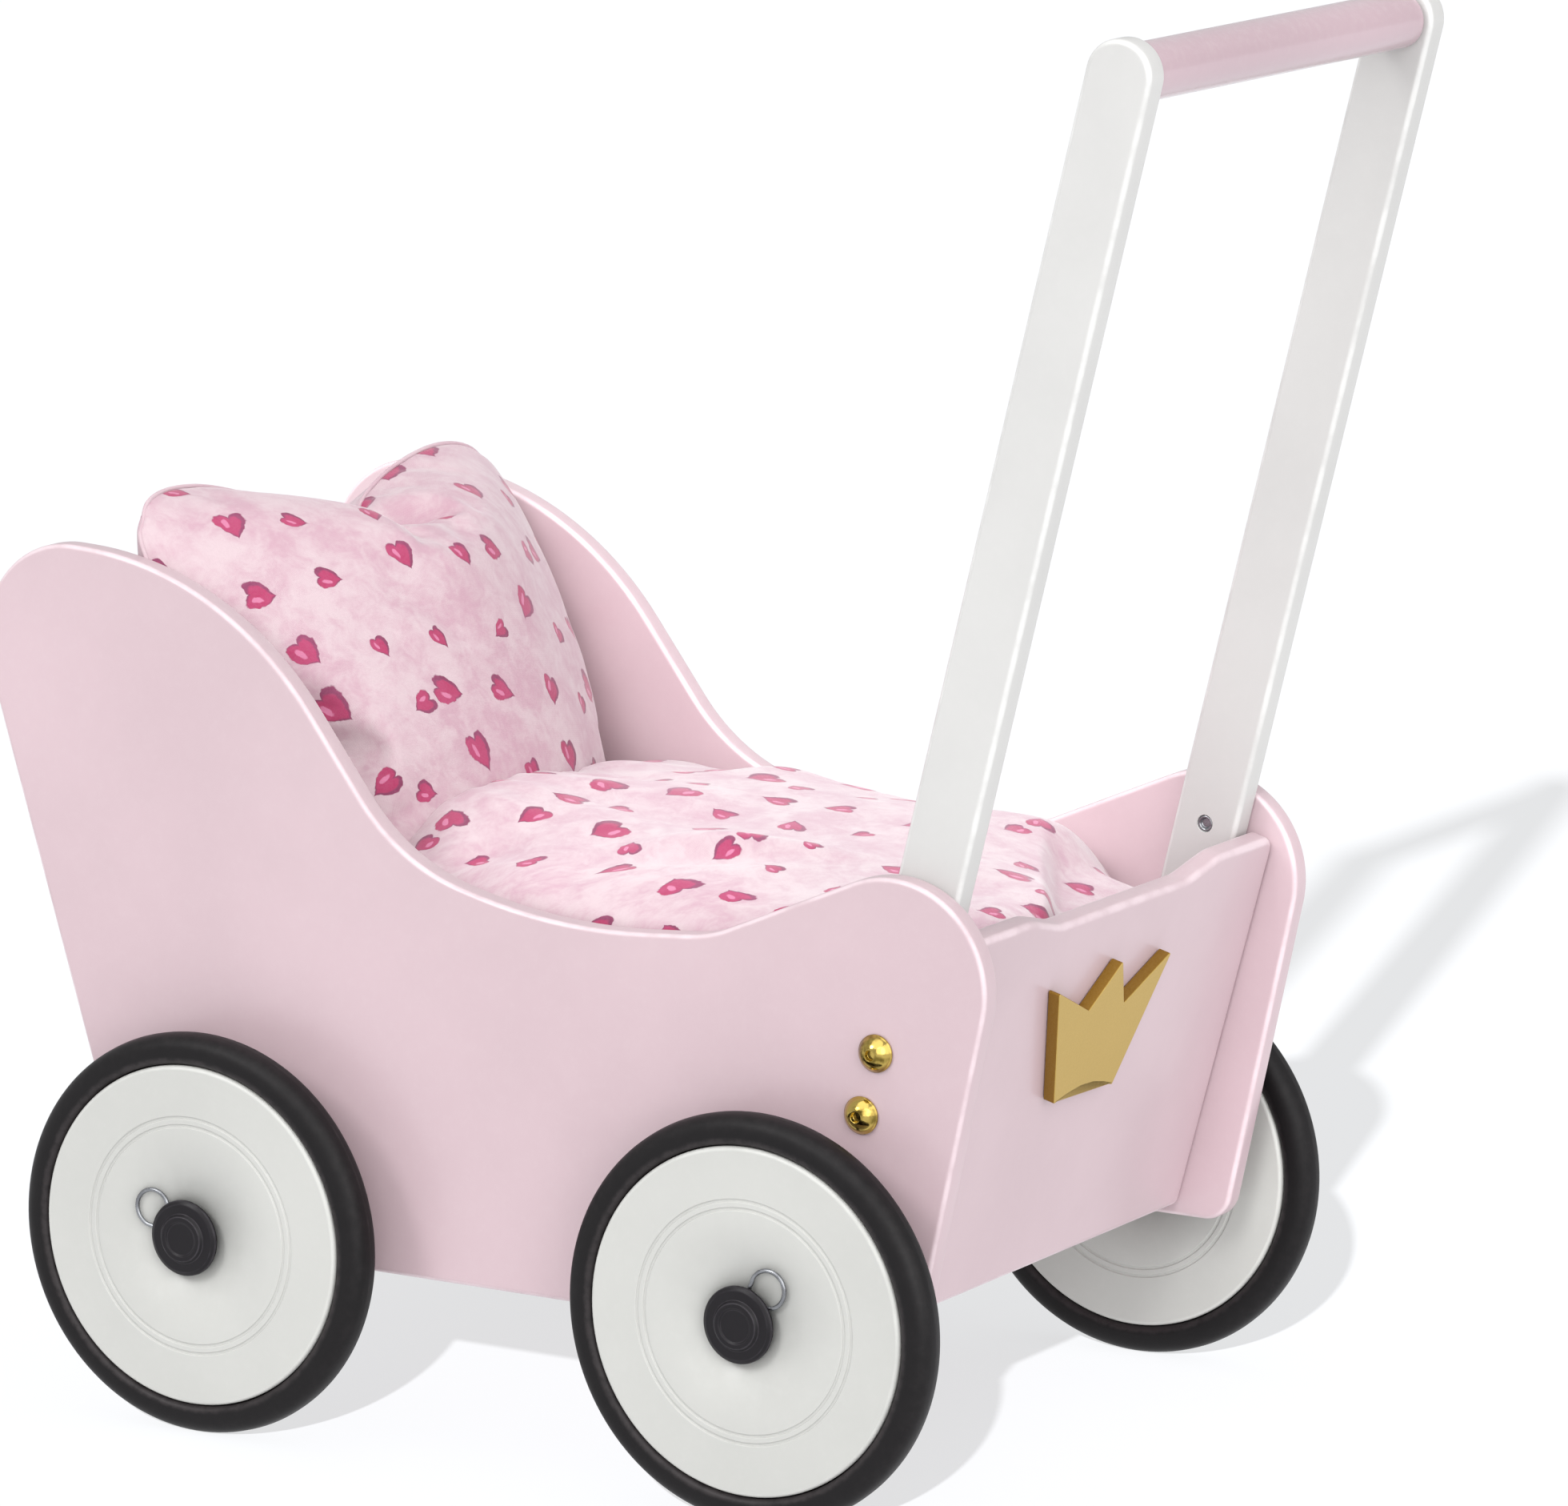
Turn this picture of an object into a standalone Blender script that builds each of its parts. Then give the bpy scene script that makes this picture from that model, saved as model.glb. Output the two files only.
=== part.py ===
"""Doll's pram: a painted wooden tub on four rubber-tyred wheels, with a white push handle and loose bedding.

Frame: +X points to the head end, the direction of travel, +Y to the pram's left and +Z up.
The origin is on the ground, under the middle of the overall box.
"""

import math

import bmesh
import bpy
from mathutils import Matrix, Vector

MM = 0.001
GAP = 0.3 * MM  # between pieces that touch on the real pram
LEFT, RIGHT = 1, -1
SIDES = (("left", LEFT), ("right", RIGHT))
ARC_STEP = math.radians(9)  # longest step along a rounded corner

# Wheels
WHEEL_RADIUS = 79 * MM
WHEEL_FACETS = 26  # leaves a flat facet at the bottom of the tread
AXLE_X = {"front": 137.4 * MM, "rear": -112.0 * MM}
WHEEL_MID_Y = 152 * MM
TYRE_HALF_WIDTH = 7.5 * MM
TREAD_HALF_WIDTH = 4.2 * MM
DISC_RADIUS = 67.5 * MM
DISC_HALF_THICKNESS = 7.3 * MM
RIM_GROOVE_HALF_WIDTH = 2.9 * MM
RIM_GROOVE_DEPTH = 3 * MM
AXLE_RADIUS = 4 * MM
AXLE_HALF_LENGTH = 163.4 * MM
SPACER_RADIUS = 8 * MM
CAP_NECK_RADIUS = 8.5 * MM
CAP_NECK_HEIGHT = 3 * MM
CAP_FLANGE_RADIUS = 15.2 * MM
CAP_HEIGHT = 6.5 * MM
CLIP_WIRE_RADIUS = 0.85 * MM
CLIP_HEIGHT = 1.6 * MM  # of the wire's middle over the disc
CLIP_RING_CENTRE = 18.6 * MM
CLIP_RING_RADIUS = 7.25 * MM
# Degrees from straight up that each clip's ring points to, positive towards the head end
CLIP_LEAN = {
    ("front", "left"): 59,
    ("rear", "left"): -38,
    ("front", "right"): -70,
    ("rear", "right"): 110,
}

# Tub: corners of the side panel as ((x, z), corner radius), anticlockwise seen with +X to the right
SIDE_CORNERS = [
    ((-167.5 * MM, 67 * MM), 12 * MM),
    ((183.5 * MM, 67 * MM), 12 * MM),
    ((269.5 * MM, 341 * MM), 40 * MM),
    ((141.5 * MM, 335 * MM), 140 * MM),
    ((62 * MM, 230.5 * MM), 83 * MM),
    ((-7 * MM, 211.5 * MM), 240 * MM),
    ((-77 * MM, 217 * MM), 55 * MM),
    ((-212.5 * MM, 276.5 * MM), 41 * MM),
]
SIDE_THICKNESS = 10 * MM
SIDE_INNER_Y = 118.5 * MM
SIDE_MID_Y = SIDE_INNER_Y + SIDE_THICKNESS / 2
SIDE_OUTER_Y = SIDE_INNER_Y + SIDE_THICKNESS
EDGE_CHAMFER = 1.8 * MM
END_THICKNESS = 10 * MM
END_LEAN = math.radians(14.8)
END_BASE_Z = 67.8 * MM
FOOT_BASE_X = -146 * MM  # outer face at END_BASE_Z
HEAD_BASE_X = 164.5 * MM
END_BOTTOM = 3.8 * MM  # up the slope from END_BASE_Z
FOOT_HEIGHT = 162.5 * MM
HEAD_HEIGHT = 240 * MM
END_DIP = 6 * MM  # how far the middle of an end panel's top edge is below its shoulders
END_DIP_INNER = 50 * MM
END_DIP_OUTER = 74 * MM
END_HALF_WIDTH = SIDE_INNER_Y - GAP
FLOOR_Z = 85.5 * MM
FLOOR_THICKNESS = 10 * MM
FLOOR_X = (-137.5 * MM, 158.5 * MM)
DOWEL_RADIUS = 3 * MM
DOWEL_LENGTH = 24 * MM
DOWEL_IN_SIDE = 6.5 * MM
DOWEL_UP_FOOT = (40 * MM, 125 * MM)
DOWEL_UP_HEAD = (40 * MM, 190 * MM)
FLOOR_DOWEL_X = (-60 * MM, 80 * MM)

# Crown emblem, on the foot panel's outer face, sized across the panel and up its slope
CROWN_BASE = ((-16.5 * MM, 79.5 * MM), (6 * MM, 86 * MM), (30 * MM, 81 * MM))
CROWN_POINTS = (
    (50 * MM, 131 * MM),
    (20.5 * MM, 118 * MM),
    (1.5 * MM, 134.7 * MM),
    (-8.5 * MM, 115.5 * MM),
    (-39.5 * MM, 131.5 * MM),
)
CROWN_HOLLOW = 60 * MM
CROWN_THICKNESS = 5 * MM
CROWN_CORNER = 1.2 * MM

# Handle
ARM_THICKNESS = 12 * MM
ARM_HALF_WIDTH = 13.75 * MM
ARM_LENGTH = 405 * MM  # from the lowest bolt to the grip's axis
GRIP_X, GRIP_Z = -240.4 * MM, 550.1 * MM
ARM_LEAN = math.radians(13.7)
ARM_OUTER_Y = SIDE_INNER_Y - GAP
ARM_INNER_Y = ARM_OUTER_Y - ARM_THICKNESS
GRIP_RADIUS = 11 * MM
TENON_RADIUS = 5.9 * MM
TENON_LENGTH = 7 * MM
BOLT_PITCH = 25 * MM
BOLT_HEAD_RADIUS = 7.25 * MM
BOLT_HEAD_HEIGHT = 5.2 * MM
SHANK_RADIUS = 1.8 * MM
INSERT_RADIUS = 3.2 * MM
INSERT_NAMES = ("lower", "upper", "lower_spare", "upper_spare")

# Bedding
MATTRESS_X = (-137 * MM, 155 * MM)
MATTRESS_HALF_WIDTH = 105.5 * MM
MATTRESS_THICKNESS = 40 * MM
BED_TOP_Z = FLOOR_Z + FLOOR_THICKNESS + GAP + MATTRESS_THICKNESS
PILLOW_CENTRE = Vector((142 * MM, 0, 241 * MM))
PILLOW_LEAN = math.radians(25.2)
PILLOW_SIZE = (80 * MM, 212 * MM, 214 * MM)  # thickness, width, height
PILLOW_ROUNDING = 30 * MM
DUVET_BOTTOM_Z = BED_TOP_Z + GAP
# Across the tub: (distance from the middle, foot end at the bottom, height of the top)
DUVET_SECTIONS = (
    (115 * MM, -98 * MM, 206 * MM),
    (105 * MM, -126 * MM, 221 * MM),
    (93 * MM, -147 * MM, 232 * MM),
    (50 * MM, -148 * MM, 242 * MM),
    (0 * MM, -148 * MM, 247 * MM),
)
DUVET_HEAD_BOTTOM_X = 51 * MM
DUVET_SHOULDER = 20 * MM


def clear_scene():
    """Remove what a new file starts with."""
    for old in list(bpy.data.objects):
        bpy.data.objects.remove(old)


def make_collection(name):
    """A collection under the scene's own."""
    made = bpy.data.collections.new(name)
    bpy.context.scene.collection.children.link(made)
    return made


def make_material(name, colour, roughness, metallic=0.0):
    """A Principled material in one colour."""
    made = bpy.data.materials.new(name)
    made.use_nodes = True
    shader = made.node_tree.nodes["Principled BSDF"]
    shader.inputs["Base Color"].default_value = (*colour, 1)
    shader.inputs["Roughness"].default_value = roughness
    shader.inputs["Metallic"].default_value = metallic
    made.diffuse_color = (*colour, 1)
    return made


def add_object(name, data, material, matrix=None):
    """A named object of the pram, placed by a matrix."""
    made = bpy.data.objects.new(name, data)
    PRAM.objects.link(made)
    data.materials.append(material)
    if matrix is not None:
        made.matrix_world = matrix
    return made


def frame_of(right, up, centre):
    """The matrix whose X and Y axes are `right` and `up`, at `centre`."""
    right, up = Vector(right).normalized(), Vector(up).normalized()
    turned_by = Matrix((right, up, right.cross(up))).transposed()
    return Matrix.Translation(centre) @ turned_by.to_4x4()


def arc(centre, radius, start, end):
    """Points along an arc, from one angle to another, in steps of ARC_STEP or less."""
    steps = max(1, math.ceil(abs(end - start) / ARC_STEP))
    angles = [start + (end - start) * i / steps for i in range(steps + 1)]
    return [(centre[0] + radius * math.cos(a), centre[1] + radius * math.sin(a)) for a in angles]


def rounded_outline(corners):
    """A closed outline from ((x, y), radius) corners, each rounded to its radius."""
    outline = []
    for i, (corner, radius) in enumerate(corners):
        corner = Vector(corner)
        back = (Vector(corners[i - 1][0]) - corner).normalized()
        ahead = (Vector(corners[(i + 1) % len(corners)][0]) - corner).normalized()
        half_angle = back.angle(ahead) / 2
        centre = corner + (back + ahead).normalized() * radius / math.sin(half_angle)
        first = corner + back * radius / math.tan(half_angle) - centre
        last = corner + ahead * radius / math.tan(half_angle) - centre
        start = math.atan2(first.y, first.x)
        turn = (math.atan2(last.y, last.x) - start + math.pi) % math.tau - math.pi
        outline += arc(centre, radius, start, start + turn)
    return outline


def plate(name, outline, thickness, material, matrix, chamfer=0.0):
    """A flat piece cut to an outline in its own XY plane, centred on that plane."""
    curve = bpy.data.curves.new(name, "CURVE")
    curve.dimensions = "2D"
    curve.fill_mode = "BOTH"
    curve.extrude = thickness / 2
    spline = curve.splines.new("POLY")
    spline.points.add(len(outline) - 1)
    for point, (x, y) in zip(spline.points, outline):
        point.co = (x, y, 0, 1)
    spline.use_cyclic_u = True
    guide = bpy.data.objects.new(name + "_outline", curve)
    PRAM.objects.link(guide)
    graph = bpy.context.evaluated_depsgraph_get()
    mesh = bpy.data.meshes.new_from_object(guide.evaluated_get(graph))
    bpy.data.objects.remove(guide)
    mesh.name = name
    mesh.materials.clear()
    sewn = bmesh.new()
    sewn.from_mesh(mesh)
    bmesh.ops.remove_doubles(sewn, verts=sewn.verts, dist=0.001 * MM)
    bmesh.ops.dissolve_limit(sewn, angle_limit=math.radians(0.2), verts=sewn.verts, edges=sewn.edges)
    sewn.to_mesh(mesh)
    sewn.free()
    made = add_object(name, mesh, material, matrix)
    if chamfer:
        bevel = made.modifiers.new("edges", "BEVEL")
        bevel.width = chamfer
        bevel.segments = 1
        bevel.limit_method = "ANGLE"
        bevel.angle_limit = math.radians(40)
    return made


def drill(target, holes):
    """Cut round holes, given as (start, end, radius, facets), out of a piece."""
    drills = bmesh.new()
    for start, end, radius, facets in holes:
        start, end = Vector(start), Vector(end)
        along = (end - start).normalized()
        place = Matrix.Translation((start + end) / 2) @ along.to_track_quat("Z", "Y").to_matrix().to_4x4()
        bmesh.ops.create_cone(
            drills,
            cap_ends=True,
            segments=facets,
            radius1=radius,
            radius2=radius,
            depth=(end - start).length,
            matrix=place,
        )
    mesh = bpy.data.meshes.new(target.name + "_holes")
    drills.to_mesh(mesh)
    drills.free()
    cutter = bpy.data.objects.new(target.name + "_holes", mesh)
    CUTTERS.objects.link(cutter)
    cutter.hide_render = True
    cutter.display_type = "WIRE"
    cut = target.modifiers.new("holes", "BOOLEAN")
    cut.operation = "DIFFERENCE"
    cut.solver = "EXACT"
    cut.object = cutter


def turned(name, profile, material, centre, side=LEFT, facets=16, ring=False, spin=0.0):
    """A piece turned about the Y axis. Its profile's (radius, height) points run down the outer
    side, with height counted outwards, towards `side`; a ring's profile closes on itself."""
    mesh = bpy.data.meshes.new(name)
    joined = [(i, i + 1) for i in range(len(profile) - 1)]
    if ring:
        joined.append((len(profile) - 1, 0))
    mesh.from_pydata([(radius, 0, height) for radius, height in profile], joined, [])
    made = add_object(name, mesh, material)
    lathe = made.modifiers.new("lathe", "SCREW")
    lathe.angle = math.tau
    lathe.steps = lathe.render_steps = facets
    lathe.use_merge_vertices = True
    lathe.merge_threshold = 0.01 * MM
    made.matrix_world = Matrix.Translation(centre) @ outward(side, spin)
    return made


def outward(side, spin=0.0):
    """The rotation that points local Z out of the pram's side, and local X `spin` from +X."""
    return Matrix.Rotation(spin, 4, "Y") @ Matrix.Rotation(-side * math.pi / 2, 4, "X")


def end_panel_matrix(base_x, lean):
    """The middle plane of an end panel: X across the pram, Y up the slope from END_BASE_Z."""
    inwards = END_THICKNESS / 2 * math.copysign(1, -base_x)
    up = Vector((math.sin(lean), 0, math.cos(lean)))
    normal = Vector((math.cos(lean), 0, -math.sin(lean)))
    return frame_of((0, 1, 0), up, Vector((base_x, 0, END_BASE_Z)) + normal * inwards)


def end_panel_outline(height):
    """A rectangle whose top edge steps down by END_DIP between its two shoulders."""
    corners = [
        ((-END_HALF_WIDTH, END_BOTTOM), 2 * MM),
        ((END_HALF_WIDTH, END_BOTTOM), 2 * MM),
        ((END_HALF_WIDTH, height), 6 * MM),
        ((END_DIP_OUTER, height), 30 * MM),
        ((END_DIP_INNER, height - END_DIP), 30 * MM),
        ((-END_DIP_INNER, height - END_DIP), 30 * MM),
        ((-END_DIP_OUTER, height), 30 * MM),
        ((-END_HALF_WIDTH, height), 6 * MM),
    ]
    return rounded_outline(corners)


def crown_outline():
    """Three points over a hollow base, wider at the top than at the base."""
    first, hollow, last = CROWN_BASE
    corners = [(first, CROWN_CORNER), (hollow, CROWN_HOLLOW), (last, CROWN_CORNER)]
    corners += [(place, CROWN_CORNER) for place in CROWN_POINTS]
    return rounded_outline(corners)


def arm_point(up):
    """The point (x, z) on an arm's middle line, `up` above its lowest bolt."""
    down = ARM_LENGTH - up
    return GRIP_X + down * math.sin(ARM_LEAN), GRIP_Z - down * math.cos(ARM_LEAN)


def dowel_places():
    """Every dowel as name: (x, z), where it crosses from a side panel into an end or the floor."""
    places = {}
    for end, base_x, lean, heights in (
        ("foot", FOOT_BASE_X, -END_LEAN, DOWEL_UP_FOOT),
        ("head", HEAD_BASE_X, END_LEAN, DOWEL_UP_HEAD),
    ):
        plane = end_panel_matrix(base_x, lean)
        for level, up in zip(("lower", "upper"), heights):
            at = plane @ Vector((0, up, 0))
            places[f"{end}_{level}"] = (at.x, at.z)
    for end, x in zip(("rear", "front"), FLOOR_DOWEL_X):
        places[f"floor_{end}"] = (x, FLOOR_Z + FLOOR_THICKNESS / 2)
    return places


def dowel_holes(names, in_side):
    """Blind holes for the named dowels, in the side panels or in the piece between them."""
    holes = []
    for name in names:
        x, z = dowel_places()[name]
        for _, side in SIDES:
            reach = DOWEL_IN_SIDE if in_side else DOWEL_IN_SIDE - DOWEL_LENGTH
            end = SIDE_INNER_Y + reach + math.copysign(GAP, reach)
            start = SIDE_INNER_Y - math.copysign(2 * MM, reach)
            holes.append(((x, side * start, z), (x, side * end, z), DOWEL_RADIUS + GAP, 12))
    return holes


def make_side_panel(hand, side):
    """A wavy side with its axle, bolt and dowel holes."""
    matrix = frame_of((1, 0, 0), (0, 0, 1), (0, side * SIDE_MID_Y, 0))
    outline = rounded_outline(SIDE_CORNERS)
    panel = plate(f"side_panel_{hand}", outline, SIDE_THICKNESS, PINK, matrix, EDGE_CHAMFER)
    through = (side * (SIDE_INNER_Y - 5 * MM), side * (SIDE_OUTER_Y + 5 * MM))
    holes = [(x, WHEEL_RADIUS, AXLE_RADIUS + GAP, 16) for x in AXLE_X.values()]
    for up in (0, BOLT_PITCH):
        holes.append((*arm_point(up), SHANK_RADIUS + GAP, 12))
    cuts = [((x, through[0], z), (x, through[1], z), radius, facets) for x, z, radius, facets in holes]
    for start, end, radius, facets in dowel_holes(dowel_places(), in_side=True):
        if start[1] * side > 0:
            cuts.append((start, end, radius, facets))
    drill(panel, cuts)


def make_end_panel(name, base_x, lean, height):
    """A leaning end panel with a dowel hole at each end of each dowel row."""
    matrix = end_panel_matrix(base_x, lean)
    outline = end_panel_outline(height)
    panel = plate(f"{name}_end_panel", outline, END_THICKNESS, PINK, matrix, EDGE_CHAMFER)
    drill(panel, dowel_holes((f"{name}_lower", f"{name}_upper"), in_side=False))


def make_floor():
    """The flat floor between the four panels, over the axles."""
    middle = (sum(FLOOR_X) / 2, 0, FLOOR_Z + FLOOR_THICKNESS / 2)
    bpy.ops.mesh.primitive_cube_add(size=1, location=middle)
    floor = bpy.context.object
    floor.name = floor.data.name = "floor_panel"
    floor.scale = (FLOOR_X[1] - FLOOR_X[0], 2 * END_HALF_WIDTH, FLOOR_THICKNESS)
    bpy.ops.object.transform_apply(location=False, rotation=False, scale=True)
    move_to_pram(floor, PINK)
    drill(floor, dowel_holes(("floor_rear", "floor_front"), in_side=False))


def move_to_pram(made, material):
    """Give an object made by an operator its material and the pram's collection."""
    for owner in list(made.users_collection):
        owner.objects.unlink(made)
    PRAM.objects.link(made)
    made.data.materials.append(material)


def make_crown():
    """The gold crown on the foot panel's outer face."""
    plane = end_panel_matrix(FOOT_BASE_X, -END_LEAN)
    out = -(END_THICKNESS + CROWN_THICKNESS) / 2 - GAP
    matrix = plane @ Matrix.Translation((0, 0, out))
    plate("crown_emblem", crown_outline(), CROWN_THICKNESS, GOLD, matrix)


def make_dowels():
    """A beech dowel at each joint of the tub."""
    for name, (x, z) in dowel_places().items():
        for hand, side in SIDES:
            middle = side * (SIDE_INNER_Y + DOWEL_IN_SIDE - DOWEL_LENGTH / 2)
            bpy.ops.mesh.primitive_cylinder_add(
                vertices=10,
                radius=DOWEL_RADIUS,
                depth=DOWEL_LENGTH,
                location=(x, middle, z),
                rotation=(math.pi / 2, 0, 0),
            )
            dowel = bpy.context.object
            dowel.name = dowel.data.name = f"dowel_{name}_{hand}"
            move_to_pram(dowel, BEECH)


def make_arm(hand, side):
    """A flat bar with round ends, bored for the inserts and for the grip's tenon."""
    outline = arc((0, 0), ARM_HALF_WIDTH, -math.pi, 0)
    outline += arc((0, ARM_LENGTH), ARM_HALF_WIDTH, 0, math.pi)
    x, z = arm_point(0)
    lean = (-math.sin(ARM_LEAN), 0, math.cos(ARM_LEAN))
    across = (math.cos(ARM_LEAN), 0, math.sin(ARM_LEAN))
    middle = side * (ARM_OUTER_Y + ARM_INNER_Y) / 2
    matrix = frame_of(across, lean, (x, middle, z))
    arm = plate(f"handle_arm_{hand}", outline, ARM_THICKNESS, WHITE, matrix, EDGE_CHAMFER)
    inner, outer = side * (ARM_INNER_Y - 3 * MM), side * (ARM_OUTER_Y + 3 * MM)
    cuts = []
    for i in range(len(INSERT_NAMES)):
        x, z = arm_point(i * BOLT_PITCH)
        cuts.append(((x, inner, z), (x, outer, z), INSERT_RADIUS + GAP, 12))
    bottom = side * (ARM_INNER_Y + TENON_LENGTH)
    cuts.append(((GRIP_X, inner, GRIP_Z), (GRIP_X, bottom, GRIP_Z), TENON_RADIUS + GAP, 16))
    drill(arm, cuts)


def make_grip():
    """The round bar between the arms, with a tenon at each end."""
    shoulder = ARM_INNER_Y - GAP
    end = shoulder + TENON_LENGTH
    half = [
        (0, end),
        (TENON_RADIUS, end),
        (TENON_RADIUS, shoulder),
        (GRIP_RADIUS - 1 * MM, shoulder),
        (GRIP_RADIUS, shoulder - 1 * MM),
    ]
    profile = half + [(radius, -height) for radius, height in reversed(half)]
    turned("handle_grip", profile, GRIP_PINK, (GRIP_X, 0, GRIP_Z), facets=20)


def make_handle_fixings(hand, side):
    """Two domed bolts through the side panel, and the threaded inserts in the arm."""
    radius, height = BOLT_HEAD_RADIUS, BOLT_HEAD_HEIGHT
    dome = [(radius * math.sin(a), height * math.cos(a)) for a in map(math.radians, (0, 25, 50, 72))]
    shank_end = -(SIDE_OUTER_Y + GAP - ARM_INNER_Y - 1 * MM)
    head = dome + [(radius, 0), (SHANK_RADIUS, 0), (SHANK_RADIUS, shank_end), (0, shank_end)]
    bore = SHANK_RADIUS + GAP
    length = ARM_THICKNESS - 2 * GAP
    tube = [(INSERT_RADIUS, length), (INSERT_RADIUS, 0), (bore, 0), (bore, length)]
    for i, name in enumerate(INSERT_NAMES):
        x, z = arm_point(i * BOLT_PITCH)
        if i < 2:
            place = (x, side * (SIDE_OUTER_Y + GAP), z)
            turned(f"handle_bolt_{name}_{hand}", head, BRASS, place, side, facets=14)
        place = (x, side * (ARM_INNER_Y + GAP), z)
        turned(f"arm_insert_{name}_{hand}", tube, STEEL, place, side, facets=12, ring=True)


def clip_spin(end, hand):
    """The turn about Y that points local X of a hub piece along its clip's ring."""
    return -math.radians(90 - CLIP_LEAN[end, hand])


def cross_hole(end, hand, side):
    """The small hole for the spring clip, across an axle and its hub cap."""
    lean = math.radians(CLIP_LEAN[end, hand])
    along = Vector((math.sin(lean), 0, math.cos(lean))) * (CAP_NECK_RADIUS + 5 * MM)
    y = side * (WHEEL_MID_Y + DISC_HALF_THICKNESS + CLIP_HEIGHT)
    middle = Vector((AXLE_X[end], y, WHEEL_RADIUS))
    return (middle - along, middle + along, CLIP_WIRE_RADIUS + GAP, 8)


def make_axle(end):
    """A steel rod from hub cap to hub cap, drilled near each end for its clips."""
    bpy.ops.mesh.primitive_cylinder_add(
        vertices=16,
        radius=AXLE_RADIUS,
        depth=2 * AXLE_HALF_LENGTH,
        location=(AXLE_X[end], 0, WHEEL_RADIUS),
        rotation=(math.pi / 2, 0, 0),
    )
    axle = bpy.context.object
    axle.name = axle.data.name = f"{end}_axle"
    move_to_pram(axle, STEEL)
    drill(axle, [cross_hole(end, hand, side) for hand, side in SIDES])


def make_tyre(name, centre, side):
    """A rubber ring with a rounded tread and a rib that sits in the disc's groove."""
    tread = WHEEL_RADIUS / math.cos(math.pi / WHEEL_FACETS)
    seat = DISC_RADIUS + 2 * GAP
    half = [
        (tread, TREAD_HALF_WIDTH),
        (tread - 4 * MM, TYRE_HALF_WIDTH),
        (seat, TYRE_HALF_WIDTH),
        (seat, RIM_GROOVE_HALF_WIDTH - GAP),
        (seat - RIM_GROOVE_DEPTH, RIM_GROOVE_HALF_WIDTH - GAP),
    ]
    profile = [(radius, -height) for radius, height in half] + half[::-1]
    turned(f"tyre_{name}", profile, RUBBER, centre, side, WHEEL_FACETS, ring=True)


def make_disc(name, centre, side):
    """A wooden wheel disc with a bore for the axle and a groove round its rim."""
    bore = AXLE_RADIUS + GAP
    half = [
        (bore, DISC_HALF_THICKNESS),
        (DISC_RADIUS, DISC_HALF_THICKNESS),
        (DISC_RADIUS, RIM_GROOVE_HALF_WIDTH),
        (DISC_RADIUS - RIM_GROOVE_DEPTH, RIM_GROOVE_HALF_WIDTH),
    ]
    profile = half + [(radius, -height) for radius, height in half[::-1]]
    turned(f"wheel_disc_{name}", profile, WHITE, centre, side, WHEEL_FACETS, ring=True)


def make_spacer(name, centre, side):
    """A plastic sleeve that keeps the wheel clear of the side panel."""
    inner = SIDE_OUTER_Y + GAP - WHEEL_MID_Y
    outer = -DISC_HALF_THICKNESS - GAP
    bore = AXLE_RADIUS + GAP
    profile = [(SPACER_RADIUS, outer), (SPACER_RADIUS, inner), (bore, inner), (bore, outer)]
    turned(f"spacer_{name}", profile, BLACK, centre, side, facets=14, ring=True)


def make_hub_cap(name, face, end, hand, side):
    """A black cap on the axle's end: a neck, a flange and a low boss, cross-drilled."""
    bore = AXLE_RADIUS + GAP
    blind = AXLE_HALF_LENGTH + GAP - WHEEL_MID_Y - DISC_HALF_THICKNESS
    profile = [
        (0, CAP_HEIGHT),
        (0.6 * CAP_FLANGE_RADIUS, CAP_HEIGHT),
        (0.66 * CAP_FLANGE_RADIUS, CAP_HEIGHT - 1 * MM),
        (CAP_FLANGE_RADIUS - 1 * MM, CAP_HEIGHT - 1.2 * MM),
        (CAP_FLANGE_RADIUS, CAP_HEIGHT - 2.2 * MM),
        (CAP_FLANGE_RADIUS, CAP_NECK_HEIGHT),
        (CAP_NECK_RADIUS, CAP_NECK_HEIGHT),
        (CAP_NECK_RADIUS, GAP),
        (bore, GAP),
        (bore, blind),
        (0, blind),
    ]
    cap = turned(f"hub_cap_{name}", profile, BLACK, face, side, facets=18)
    drill(cap, [cross_hole(end, hand, side)])


def clip_path():
    """The spring clip in its own plane: a straight leg through the axle, a ring, and an outer
    leg that springs over the cap's neck."""
    path = [(-11 * MM, 0), (0, 0), (9.3 * MM, 0), (11 * MM, -1.8 * MM)]
    path += [
        (CLIP_RING_CENTRE + CLIP_RING_RADIUS * math.cos(a), CLIP_RING_RADIUS * math.sin(a))
        for a in (math.radians(215 + 26.5 * i) for i in range(11))
    ]
    path += [(11.6 * MM, 5.7 * MM), (9.4 * MM, 7.2 * MM), (5.6 * MM, 9.6 * MM), (0, 10.6 * MM)]
    path += [(-5.4 * MM, 9.8 * MM), (-9 * MM, 11.4 * MM)]
    return path


def make_clip(name, face, end, hand, side):
    """A spring clip bent from wire, between the disc and the cap's flange."""
    path = clip_path()
    curve = bpy.data.curves.new(f"spring_clip_{name}", "CURVE")
    curve.dimensions = "3D"
    curve.bevel_depth = CLIP_WIRE_RADIUS
    curve.bevel_resolution = 1
    curve.use_fill_caps = True
    spline = curve.splines.new("POLY")
    spline.points.add(len(path) - 1)
    for point, (x, y) in zip(spline.points, path):
        point.co = (x, y, CLIP_HEIGHT, 1)
    matrix = Matrix.Translation(face) @ outward(side, clip_spin(end, hand))
    add_object(f"spring_clip_{name}", curve, STEEL, matrix)


def make_wheel(end, hand, side):
    """One wheel with its tyre, spacer, hub cap and spring clip."""
    name = f"{end}_{hand}"
    centre = Vector((AXLE_X[end], side * WHEEL_MID_Y, WHEEL_RADIUS))
    face = centre + Vector((0, side * DISC_HALF_THICKNESS, 0))
    make_tyre(name, centre, side)
    make_disc(name, centre, side)
    make_spacer(name, centre, side)
    make_hub_cap(name, face, end, hand, side)
    make_clip(name, face, end, hand, side)


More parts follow.
